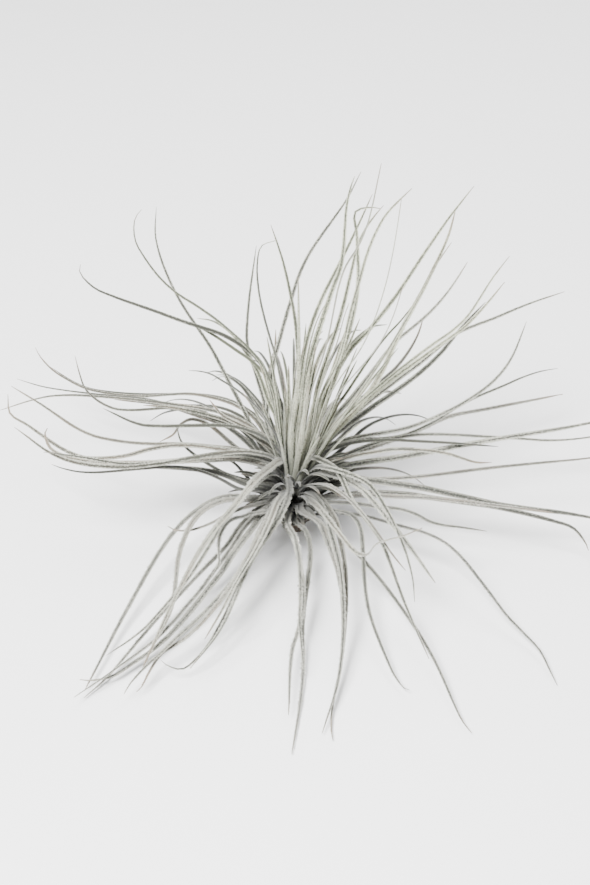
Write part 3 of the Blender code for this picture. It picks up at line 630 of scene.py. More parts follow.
    def contacts(self, points: Points, reach: Points, fused: Points,
                 runs: Points) -> list[tuple[float, int, int, int, int]]:
        """Find the closest samples of leaves that are too close.

        Args:
            points: Every leaf's samples.
            reach: How far each sample's blade reaches.
            fused: Which pairs of leaves share a whorl.
            runs: The distance along its leaf of each sample.

        Returns:
            The gap that is missing, the first leaf and sample, and the second leaf and
            sample, with one entry for each short stretch.
        """
        flat = points.reshape(-1, 3)
        tree = kdtree.KDTree(len(flat))
        for index, point in enumerate(flat):
            tree.insert(point, index)
        tree.balance()
        found = {}
        for index, point in enumerate(flat):
            one, i = divmod(index, self.samples)
            own = reach[one, i] + self.clearance
            for _, other, distance in tree.find_range(point, own + reach.max()):
                two, j = divmod(other, self.samples)
                gap = own + reach[two, j] - distance
                if (two <= one or gap <= self.least_push
                        or fused[one, two] and runs[one, i] < self.shared_root):
                    continue
                key = (one, two, i // self.stretch)
                if gap > found.get(key, (0,))[0]:
                    found[key] = (gap, one, i, two, j)
        return sorted(found.values())


@dataclass
class Heart:
    """The dense middle of the plant: the sheaths on the bulb and the young tuft, in mm."""

    rosette: Rosette
    reach: float = 38.0
    outer_stride: int = 6
    # The sheath of a long leaf: between which heights its rim lies, and how it clasps
    sheath_low: float = 11.0
    sheath_high: float = 44.0
    sheath_places: int = 80
    sheath_dip: float = 4.0
    sheath_lift: float = 0.4
    sheath_drop: float = 7.0
    sheath_clear: float = 9.0
    sheath_climb: float = 0.9
    sink: float = 2.5
    least_radius: float = 0.8
    least_reach: float = 0.01
    # How far from its root a leaf is smoothed, and how strongly
    eased_to: float = 75.0
    ease_length: float = 20.0
    most_ease: float = 0.5
    ease_rounds: int = 18
    # The short sheaths, from least to most long. Any other pair is what all of them have
    # and what is added by their place, with angles in degrees
    short_sheaths: int = 96
    short_start: float = 0.09
    short_low: float = 8.0
    short_high: float = 42.0
    short_length: Span = (18.0, 33.0)
    short_steps: int = 5
    short_lift: float = 0.3
    short_root: Span = (2.0, 3.0)
    short_climb: Span = (20, 48)
    short_drop: Span = (40, 32)
    short_stiffness: Span = (0.7, 0.3)
    short_power: float = 1.5
    # The lowest of them, below the collar's height, are shorter and stand up more
    collar_high: float = 20.0
    collar_length: Span = (0.4, 0.6)
    collar_climb: float = 42
    # The young leaves of the tuft, which climb more steeply toward its middle
    tuft_leaves: int = 44
    tuft_start: float = 0.31
    tuft_low: float = 9.0
    tuft_rise: float = 7.0
    tuft_radius: float = 0.8
    tuft_length: Span = (36.0, 92.0)
    tuft_steps: int = 6
    tuft_climb: Span = (math.radians(66), math.radians(85))
    tuft_bend: Span = (-14, 34)

    def dressed(self, leaf: Leaf) -> Points:
        """Carry a settled leaf down to its sheath on the bulb.

        Outside the heart the leaf stays on its settled path. Inside it, a leaf in view
        follows its own row down to the nearest place on the bulb, and every sheath
        starts low on the bulb and clasps it on its way up.

        Args:
            leaf: The leaf, whose way out of the stem is set to that of its sheath.

        Returns:
            The points of its midrib, from the foot of the sheath to the tip.
        """
        if leaf.number >= self.rosette.count:
            return leaf.path.copy()
        far = np.linalg.norm(leaf.path - self.rosette.centre, axis=1)
        start = np.argmax(far > self.reach + self.rosette.cup_merge)
        outer = leaf.path[start::self.outer_stride]
        if (len(leaf.path) - 1 - start) % self.outer_stride:
            outer = np.vstack([outer, leaf.path[-1]])
        inner = self.inner_points(leaf)
        guide = inner[0] if len(inner) else outer[0]
        height = self.sheath_height(guide)
        outward = np.array([guide[0], guide[1], 0.0])
        outward /= np.linalg.norm(outward)
        leaf.outward = outward
        radius = self.rosette.bulb.radius(height)
        rim = outward * (radius + self.sheath_lift) + np.array([0.0, 0.0, height])
        inner = [point for point in inner if np.linalg.norm(point - rim) > self.sheath_clear]
        ahead = (inner[0] if inner else outer[0]) - rim
        ahead = ahead / np.linalg.norm(ahead) + np.array([0.0, 0.0, self.sheath_climb])
        foot = rim - ahead / np.linalg.norm(ahead) * self.sheath_drop
        within = max(np.hypot(foot[0], foot[1]), self.least_reach)
        foot[:2] *= min(1.0, self.sunk_radius(radius) / within)
        whole = np.vstack([foot, rim, *inner, outer])
        return self.eased(smooth_path(whole, self.rosette.samples * 2))

    def inner_points(self, leaf: Leaf) -> Points:
        """Find the guide points of a leaf inside the heart.

        Args:
            leaf: The leaf.

        Returns:
            The points of its own row, or where it leaves its cup when it has no row.
        """
        if leaf.number >= len(LEAVES):
            return np.array([self.rosette.cup_edge(leaf.path)])
        near, path = LEAVES[leaf.number]
        own = self.rosette.seen_path(near, path, 0.0)
        away = np.linalg.norm(own - self.rosette.centre, axis=1)
        return own[:int(np.argmax(away > self.reach))]

    def sheath_height(self, guide: Points) -> float:
        """Find the height on the bulb that lies nearest to a point just above it.

        Args:
            guide: The first point of the leaf outside its sheath.

        Returns:
            The height of the sheath's rim.
        """
        heights = np.linspace(self.sheath_low, self.sheath_high, self.sheath_places)
        girth = np.array([self.rosette.bulb.radius(height) for height in heights])
        reach = np.hypot(np.hypot(guide[0], guide[1]) - girth,
                         guide[2] - self.sheath_dip - heights)
        return heights[np.argmin(reach)]

    def sunk_radius(self, radius: float) -> float:
        """How far from the stem's axis a sheath starts, inside the bulb's skin."""
        return max(radius - self.sink, self.least_radius)

    def eased(self, path: Points) -> Points:
        """Take the kinks out of the part of a path that lies near its root.

        Args:
            path: The path's points, which are changed.

        Returns:
            The same points.
        """
        near_root = (self.eased_to - lengths(path)) / self.ease_length
        pull = np.clip(near_root, 0.0, self.most_ease)[1:-1, None]
        for _ in range(self.ease_rounds):
            path[1:-1] += pull * ((path[:-2] + path[2:]) / 2 - path[1:-1])
        return path

    def short_sheath(self, index: int) -> Leaf:
        """Lay out one of the short leaf bases that fill the heart, by a golden-angle rule.

        Args:
            index: Its number, from the lowest up.

        Returns:
            The leaf base as a short leaf. Its number follows on from the long leaves.
        """
        bulb, count = self.rosette.bulb, self.short_steps
        share = (index + 0.5) / self.short_sheaths
        azimuth = 2 * math.pi * scatter(index, start=self.short_start)
        vary = scatter(index, stride=5)
        height = self.short_low + share * (self.short_high - self.short_low)
        outward = np.array([math.cos(azimuth), math.sin(azimuth), 0.0])
        up = np.array([0.0, 0.0, 1.0])
        length = self.short_length[0] + vary * (self.short_length[1] - self.short_length[0])
        spread = np.clip((height - self.short_low) / (self.collar_high - self.short_low), 0, 1)
        length *= self.collar_length[0] + self.collar_length[1] * spread
        climb = math.radians(self.short_climb[0] + self.short_climb[1] * share
                             + self.collar_climb * (1 - spread))
        drop = (math.radians(self.short_drop[0] + self.short_drop[1] * vary)
                * (self.short_stiffness[0] + self.short_stiffness[1] * share))
        radius = bulb.radius(height)
        steps = [(length / count, climb - drop * (step / count) ** self.short_power)
                 for step in range(1, count + 1)]
        sunk = up * (height - self.short_root[0] - self.short_root[1] * spread)
        points = [outward * self.sunk_radius(radius) + sunk]
        points += arched(outward * (radius + self.short_lift) + up * height, outward, steps)
        whorl = int(share * (bulb.whorls - 2))
        return Leaf(self.rosette.count + index, whorl,
                    smooth_path(np.array(points), self.rosette.samples), outward)

    def tuft_leaf(self, index: int) -> Leaf:
        """Lay out one of the young leaves that stand close in the middle of the tuft.

        Args:
            index: Its number, from the outermost in.

        Returns:
            The leaf. Its number follows on from the short sheaths.
        """
        rosette = self.rosette
        share = (index + 0.5) / self.tuft_leaves
        azimuth = 2 * math.pi * scatter(index, start=self.tuft_start)
        vary = scatter(index, stride=7)
        outward = np.array([math.cos(azimuth), math.sin(azimuth), 0.0])
        height = self.sheath_high - self.tuft_low + self.tuft_rise * share
        low, high = self.tuft_climb
        climb = low + (high - low) * share
        length = self.tuft_length[0] + vary * (self.tuft_length[1] - self.tuft_length[0])
        bend = math.radians(self.tuft_bend[0] + self.tuft_bend[1] * ((vary * 3) % 1.0))
        steps = [(length / self.tuft_steps, climb - bend * step / self.tuft_steps)
                 for step in range(self.tuft_steps)]
        radius = rosette.bulb.radius(height) * self.tuft_radius
        lean = np.array([rosette.lean_right, rosette.lean_back, 0.0])
        points = np.array(arched(outward * radius + np.array([0.0, 0.0, height]), outward, steps))
        points += lean * (points[:, 2:] - height)
        return Leaf(rosette.count + self.short_sheaths + index,
                    rosette.bulb.whorls - 1 - index % 2,
                    smooth_path(points, rosette.samples), outward)


class Bench:
    """Lays nodes into a node tree and joins them."""

    def __init__(self, tree: bpy.types.NodeTree) -> None:
        """Work on one tree."""
        self.tree = tree

    def lay(self, kind: str, feeds: dict[str | int, Feed] | None = None,
            **settings: object) -> bpy.types.Node:
        """Add a node.

        Args:
            kind: The node's type.
            feeds: What goes into its inputs, by name or number: a socket or a value.
            settings: The node's own settings.

        Returns:
            The node.
        """
        node = self.tree.nodes.new(kind)
        for name, value in settings.items():
            setattr(node, name, value)
        for key, value in (feeds or {}).items():
            if isinstance(value, bpy.types.NodeSocket):
                self.tree.links.new(value, node.inputs[key])
            else:
                node.inputs[key].default_value = value
        return node

    def reckon(self, operation: str, *values: Feed) -> bpy.types.NodeSocket:
        """The result of a Math node on sockets or numbers."""
        return self.lay("ShaderNodeMath", dict(enumerate(values)), operation=operation).outputs[0]

    def vector(self, operation: str, *values: Feed) -> bpy.types.NodeSocket:
        """The vector result of a Vector Math node; a Scale node's factor is its fourth input."""
        keys = (0, 3) if operation == "SCALE" else range(len(values))
        return self.lay("ShaderNodeVectorMath", dict(zip(keys, values)),
                        operation=operation).outputs[0]

    def ramp(self, value: Feed, low: float, high: float, start: float = 0.0,
             end: float = 1.0) -> bpy.types.NodeSocket:
        """A smooth step of a value from low to high, between start and end."""
        feeds = {0: value, 1: low, 2: high, 3: start, 4: end}
        return self.lay("ShaderNodeMapRange", feeds, interpolation_type="SMOOTHSTEP").outputs[0]

    def combined(self, *parts: Feed) -> bpy.types.NodeSocket:
        """A vector of the given parts."""
        return self.lay("ShaderNodeCombineXYZ", dict(enumerate(parts))).outputs[0]


class GrowthTree(Bench):
    """A Geometry Nodes tree with named inputs that ends in Realize Instances and Set Material."""

    def __init__(self, name: str, inputs: dict[str, str]) -> None:
        """Start a tree.

        Args:
            name: The tree's name.
            inputs: The socket type of each named input, after the geometry.
        """
        super().__init__(bpy.data.node_groups.new(name, "GeometryNodeTree"))
        sides = self.tree.interface
        sides.new_socket(name="Geometry", in_out="INPUT", socket_type="NodeSocketGeometry")
        for label, kind in {**inputs, "Material": "NodeSocketMaterial"}.items():
            sides.new_socket(name=label, in_out="INPUT", socket_type=kind)
        sides.new_socket(name="Geometry", in_out="OUTPUT", socket_type="NodeSocketGeometry")
        self.given = self.lay("NodeGroupInput").outputs

    def attribute(self, name: str, kind: str = "FLOAT") -> bpy.types.NodeSocket:
        """Read a named attribute."""
        return self.lay("GeometryNodeInputNamedAttribute", {"Name": name},
                        data_type=kind).outputs[0]

    def store(self, geometry: Feed, name: str, value: Feed, kind: str = "FLOAT",
              domain: str = "POINT") -> bpy.types.NodeSocket:
        """Keep a value on the geometry as a named attribute.

        Args:
            geometry: The geometry.
            name: The attribute's name.
            value: Its value.
            kind: Its data type.
            domain: Where on the geometry it is kept.

        Returns:
            The geometry with the attribute.
        """
        return self.lay("GeometryNodeStoreNamedAttribute",
                        {"Geometry": geometry, "Name": name, "Value": value},
                        data_type=kind, domain=domain).outputs[0]

    def strip_place(self, around: Feed) -> bpy.types.NodeSocket:
        """Find where on the piece's map a point of a blade lies.

        Args:
            around: How far round the blade's section the point is.

        Returns:
            Its place, in the strip of the map that the blade has to itself.
        """
        strip = self.reckon("MULTIPLY_ADD", around, STRIP, self.attribute("column"))
        return self.combined(self.reckon("DIVIDE", strip, self.attribute("columns")),
                             self.attribute("share"))

    def close(self, geometry: Feed) -> None:
        """End the tree with real geometry in the given material.

        Args:
            geometry: The geometry that the tree has made.
        """
        real = self.lay("GeometryNodeRealizeInstances", {"Geometry": geometry})
        dressed = self.lay("GeometryNodeSetMaterial",
                           {"Geometry": real.outputs[0], "Material": self.given["Material"]})
        self.lay("NodeGroupOutput", {"Geometry": dressed.outputs[0]})

    def grow(self, item: bpy.types.Object, values: dict[str, object]) -> bpy.types.Object:
        """Run the tree on an object and keep the result as its plain mesh.

        Args:
            item: The object that the tree starts from.
            values: What each named input is set to.

        Returns:
            The same object, with the grown mesh and no modifier.
        """
        modifier = item.modifiers.new("Growth", "NODES")
        modifier.node_group = self.tree
        for socket in self.tree.interface.items_tree:
            if socket.in_out == "INPUT" and socket.name in values:
                modifier[socket.identifier] = values[socket.name]
        ready = item.evaluated_get(bpy.context.evaluated_depsgraph_get())
        grown = bpy.data.meshes.new_from_object(ready)
        item.modifiers.clear()
        old, item.data = item.data, grown
        bpy.data.meshes.remove(old)
        grown.name = item.name
        grown.materials.clear()
        grown.materials.append(values["Material"])
        grown.polygons.foreach_set("material_index", [0] * len(grown.polygons))
        return item


def drop_helpers(piece: bpy.types.Object, *kept: str) -> None:
    """Remove the attributes that only the growth trees needed.

    Args:
        piece: The piece.
        kept: The attributes that its finish reads.
    """
    items = piece.data.attributes
    for name in [item.name for item in items if not item.is_internal and not item.is_required]:
        if name not in (*kept, MAP, "sharp_face", "material_index"):
            items.remove(items[name])


def new_piece(name: str, mesh: bpy.types.Mesh) -> bpy.types.Object:
    """Link a mesh to the scene as an object at the origin.

    Args:
        name: The object's name.
        mesh: The mesh.

    Returns:
        The object.
    """
    item = bpy.data.objects.new(name, mesh)
    bpy.context.scene.collection.objects.link(item)
    return item


def toned(colour: Colour, factor: float) -> Colour:
    """A colour made darker or paler by a factor."""
    return tuple(factor * part for part in colour)


class Dye(Bench):
    """A Principled material that is built up from nodes. Sizes are in metres."""

    SHEEN_ROUGHNESS: float = 0.6
    SPECULAR: float = 0.25
    COLLAR_REACH: Span = (0.014, 0.026)
    COLLAR_HEIGHT: Span = (0.010, 0.024)
    WORN_TINT: float = 0.6
    WORN_SHIFT: float = 0.16
    WORN_SPAN: Span = (0.9, 1.03)
    WORN_MOST: float = 0.8

    def __init__(self, name: str, roughness: float, sheen: float = 0.0) -> None:
        """Start a material.

        Args:
            name: The material's name.
            roughness: How rough it is all over.
            sheen: How strong its velvety sheen is.
        """
        self.material = bpy.data.materials.new(name)
        self.material.use_nodes = True
        super().__init__(self.material.node_tree)
        self.shader = self.tree.nodes["Principled BSDF"]
        self.shader.inputs["Roughness"].default_value = roughness
        self.shader.inputs["Sheen Weight"].default_value = sheen
        self.shader.inputs["Sheen Roughness"].default_value = self.SHEEN_ROUGHNESS
        self.shader.inputs["Specular IOR Level"].default_value = self.SPECULAR
        self.place = self.lay("ShaderNodeTexCoord").outputs["Object"]

    def attribute(self, name: str) -> bpy.types.NodeSocket:
        """Read a named number of the mesh."""
        return self.lay("ShaderNodeAttribute", attribute_name=name).outputs["Fac"]

    def noise(self, vector: Feed, scale: float, detail: float = 2.0) -> bpy.types.NodeSocket:
        """A noise pattern on a vector."""
        return self.lay("ShaderNodeTexNoise", {"Vector": vector, "Scale": scale,
                                               "Detail": detail}).outputs[0]

    def mix(self, share: Feed, under: Feed, over: Feed) -> bpy.types.NodeSocket:
        """Mix two colours.

        Args:
            share: How much of the second colour there is.
            under: The first colour.
            over: The second colour.

        Returns:
            The mixed colour.
        """
        under, over = ((*colour, 1.0) if isinstance(colour, tuple) else colour
                       for colour in (under, over))
        return self.lay("ShaderNodeMix", {0: share, 6: under, 7: over},
                        data_type="RGBA").outputs[2]

    def length(self, vector: Feed) -> bpy.types.NodeSocket:
        """The length of a vector."""
        return self.lay("ShaderNodeVectorMath", {0: vector}, operation="LENGTH").outputs["Value"]

    def heart_shade(self, colour: Feed, dark: Colour) -> bpy.types.NodeSocket:
        """Darken a colour toward the heart: painted shade among the crowded leaf bases."""
        far = self.length(self.vector("SUBTRACT", self.place, HEART))
        return self.mix(self.ramp(far, *HEART_SHADE), dark, colour)

    def collar(self) -> bpy.types.NodeSocket:
        """Find how far a place belongs to the dry leaf bases about the foot of the bulb.

        Returns:
            A share from 0 to 1.
        """
        away = self.length(self.vector("MULTIPLY", self.place, (1.0, 1.0, 0.0)))
        height = self.lay("ShaderNodeSeparateXYZ", {0: self.place}).outputs["Z"]
        return self.reckon("MULTIPLY", self.ramp(away, *self.COLLAR_REACH, 1.0, 0.0),
                           self.ramp(height, *self.COLLAR_HEIGHT, 1.0, 0.0))

    def worn_tip(self, share: Feed, tint: Feed) -> bpy.types.NodeSocket:
        """Find how dry a leaf is toward its tip: a leaf of a high tint dries from farther down.

        Args:
            share: How far along its leaf a place is.
            tint: The leaf's random tint.

        Returns:
            A share from 0 to 1.
        """
        worn = self.reckon("MULTIPLY_ADD", self.reckon("SUBTRACT", tint, self.WORN_TINT),
                           self.WORN_SHIFT, share)
        return self.ramp(worn, *self.WORN_SPAN, 0.0, self.WORN_MOST)

    def finish(self, colour: Feed, height: Feed, strength: float,
               depth: float) -> bpy.types.Material:
        """Feed the shader.

        Args:
            colour: The base colour.
            height: The height of the surface's relief.
            strength: How strongly the relief shows.
            depth: How deep it is, in metres.

        Returns:
            The material.
        """
        relief = self.lay("ShaderNodeBump", {"Height": height, "Strength": strength,
                                             "Distance": depth})
        self.tree.links.new(colour, self.shader.inputs["Base Color"])
        self.tree.links.new(relief.outputs[0], self.shader.inputs["Normal"])
        return self.material


@dataclass(frozen=True)
class LeafFinish:
    """The skin of a leaf: a grey-green blade under a felt of silver scales.

    A cover is how much more of the felt a pattern brings, and a span is where on its own
    scale a pattern starts and ends.
    """

    slot: Slot
    skin: Colour
    # The colour of the painted shade in the channel, on the lower face and toward the heart
    painted_shade: Colour
    felt: Colour
    # How much of its colour the blade's lower face keeps under the painted shade
    lower_face_shade: float = 0.45
    dry: Colour = (0.17, 0.13, 0.09)
    dry_tones: Span = (0.3, 1.1)
    dry_span: Span = (0.35, 0.65)
    roughness: float = 0.82
    sheen: float = 0.25
    cover: float = 0.53
    cover_span: Span = (0.1, 0.95)
    streaks: Place = (46.0, 9.0, 37.0)
    streak_detail: float = 3.0
    streak_cover: float = 1.9
    speck_cover: float = 2.3
    cloud_scale: float = 60.0
    cloud_cover: float = 0.6
    margin_span: Span = (0.66, 1.0)
    margin_cover: float = 0.5
    channel_shade_span: Span = (0.86, 1.0)
    channel_shade_cover: float = -0.55
    tint_cover: float = 0.4
    felting_cover: float = 0.75
    rust_scale: float = 0.6
    rust_span: Span = (0.5, 0.62)
    rust_tint: Span = (0.55, 0.9)
    rust_most: float = 0.55
    lower_face_shade_span: Span = (-0.5, 0.15)
    speck_relief: float = 0.6
    relief: float = 0.6
    relief_depth: float = 0.00025

    def material(self) -> bpy.types.Material:
        """Build the material: streaks along the blade, pale margins, and painted shade in the channel, on
        the lower face and toward the heart.

        Returns:
            The material.
        """
        dye = Dye(self.slot.value + "_skin", self.roughness, self.sheen)
        share, around, tint, felting = (dye.attribute(name) for name in BLADE_MARKS)
        angle = dye.reckon("MULTIPLY", around, 2 * math.pi)
        across, facing = dye.reckon("COSINE", angle), dye.reckon("SINE", angle)
        margin = dye.ramp(dye.reckon("ABSOLUTE", across), *self.margin_span)
        # Painted shade: the channel down the middle of the face gets less felt and the dark shade colour
        channel = dye.ramp(facing, *self.channel_shade_span)
        strand = dye.combined(*(dye.reckon("MULTIPLY", part, scale)
                                for part, scale in zip((around, share, tint), self.streaks)))
        streak = dye.noise(strand, 1.0, self.streak_detail)
        speck = dye.noise(dye.place, CLUMPS)
        cloud = dye.noise(dye.place, self.cloud_scale)
        cover = self.cover
        for part, middle, strength in ((streak, NOISE_MIDDLE, self.streak_cover),
                                       (speck, NOISE_MIDDLE, self.speck_cover),
                                       (cloud, NOISE_MIDDLE, self.cloud_cover),
                                       (margin, 0.0, self.margin_cover),
                                       (channel, 0.0, self.channel_shade_cover),
                                       (tint, 0.5, self.tint_cover),
                                       (felting, 0.5, self.felting_cover)):
            cover = dye.reckon("MULTIPLY_ADD", dye.reckon("SUBTRACT", part, middle), strength,
                               cover)
        colour = dye.mix(dye.ramp(cover, *self.cover_span),
                         dye.mix(channel, self.skin, self.painted_shade), self.felt)
        rust = dye.reckon("MULTIPLY", dye.ramp(dye.noise(strand, self.rust_scale), *self.rust_span),
                          dye.ramp(tint, *self.rust_tint, 0.0, self.rust_most))
        colour = dye.mix(dye.reckon("MAXIMUM", dye.worn_tip(share, tint), rust), colour, self.dry)
        # Painted shade: the lower face of the blade is darkened
        colour = dye.mix(dye.ramp(facing, *self.lower_face_shade_span, self.lower_face_shade, 1.0), self.painted_shade,
                         colour)
        # Painted shade: darker toward the heart of the rosette
        colour = dye.heart_shade(colour, self.painted_shade)
        low, high = (toned(self.dry, factor) for factor in self.dry_tones)
        ends = dye.mix(dye.ramp(streak, *self.dry_span), low, high)
        height = dye.reckon("ADD", dye.reckon("MULTIPLY", speck, self.speck_relief), streak)
        return dye.finish(dye.mix(dye.collar(), colour, ends), height, self.relief,
                          self.relief_depth)


@dataclass(frozen=True)
class FeltFinish:
    """The silver scales that stand on a leaf."""

    slot: Slot
    pale: Colour
    shade: Colour
    dry: Colour = (0.42, 0.36, 0.28)
    heart_shade_tone: float = 0.36
    collar_tone: float = 0.6
    roughness: float = 0.7
    sheen: float = 0.2
    cloud_scale: float = 90.0
    cloud_detail: float = 3.0
    cloud_span: Span = (0.35, 0.7)
    relief: float = 0.1
    relief_depth: float = 0.0001

    def material(self) -> bpy.types.Material:
        """Build the material: silver white, a little dull in places, dry at the tips and darkened toward
        the heart with painted shade.

        Returns:
            The material.
        """
        dye = Dye(self.slot.value + "_felt", self.roughness, self.sheen)
        share, tint = (dye.attribute(name) for name in FELT_MARKS)
        cloud = dye.ramp(dye.noise(dye.place, self.cloud_scale, self.cloud_detail),
                         *self.cloud_span)
        colour = dye.mix(cloud, self.shade, self.pale)
        colour = dye.mix(dye.worn_tip(share, tint), colour, self.dry)
        # Painted shade: the scales darken toward the heart
        colour = dye.heart_shade(colour, toned(self.shade, self.heart_shade_tone))
        colour = dye.mix(dye.collar(), colour, toned(self.dry, self.collar_tone))
        return dye.finish(colour, cloud, self.relief, self.relief_depth)


@dataclass(frozen=True)
class BarkFinish:
    """The dry stem: brown fibres with grey remains of old leaf bases."""

    name: str = "dry_bark"
    dark: Colour = (0.030, 0.020, 0.013)
    fibre: Colour = (0.13, 0.09, 0.055)
    grey: Colour = (0.18, 0.17, 0.145)
    roughness: float = 0.9
    sheen: float = 0.1
    grain: Place = (1.0, 1.0, 0.16)
    fibre_scale: float = 2600.0
    fibre_detail: float = 4.0
    fibre_span: Span = (0.35, 0.68)
    patch_scale: float = 420.0
    patch_detail: float = 3.0
    patch_span: Span = (0.52, 0.72)
    patch_most: float = 0.7
    relief: float = 0.8
    relief_depth: float = 0.0004

    def material(self) -> bpy.types.Material:
        """Build the material: fine fibres up the stem, with pale patches.

        Returns:
            The material.
        """
        dye = Dye(self.name, self.roughness, self.sheen)
        grain = dye.lay("ShaderNodeMapping", {"Vector": dye.place, "Scale": self.grain})
        fibres = dye.noise(grain.outputs[0], self.fibre_scale, self.fibre_detail)
        patches = dye.noise(dye.place, self.patch_scale, self.patch_detail)
        colour = dye.mix(dye.ramp(fibres, *self.fibre_span), self.dark, self.fibre)
        colour = dye.mix(dye.ramp(patches, *self.patch_span, 0.0, self.patch_most), colour,
                         self.grey)
        return dye.finish(colour, fibres, self.relief, self.relief_depth)


# The painted_shade colours are painted shade in the channel, on the lower face and toward the heart
LEAF_FINISHES = (
    LeafFinish(Slot.OLD_LEAF, skin=(0.050, 0.051, 0.040), painted_shade=(0.024, 0.025, 0.019),
               felt=(0.26, 0.258, 0.218)),
    LeafFinish(Slot.SILVER_LEAF, skin=(0.050, 0.052, 0.037), painted_shade=(0.024, 0.025, 0.018),
               felt=(0.36, 0.36, 0.30)),
    LeafFinish(Slot.YOUNG_LEAF, skin=(0.085, 0.092, 0.058), painted_shade=(0.045, 0.049, 0.031),
               felt=(0.43, 0.44, 0.33), lower_face_shade=0.85),
)
FELT_FINISHES = (
    FeltFinish(Slot.OLD_LEAF, pale=(0.64, 0.636, 0.575), shade=(0.34, 0.338, 0.296)),
    FeltFinish(Slot.SILVER_LEAF, pale=(0.62, 0.618, 0.555), shade=(0.38, 0.38, 0.34)),
    FeltFinish(Slot.YOUNG_LEAF, pale=(0.68, 0.69, 0.57), shade=(0.42, 0.43, 0.34)),
)
DRY_BARK = BarkFinish()
# The bulb's core is painted nearly black, as painted shade in the gaps between the leaf bases
SHADED_HEART_SKIN = BarkFinish("shaded_heart_skin", dark=(0.016, 0.017, 0.012), fibre=(0.055, 0.055, 0.042),
                        grey=(0.10, 0.10, 0.085))


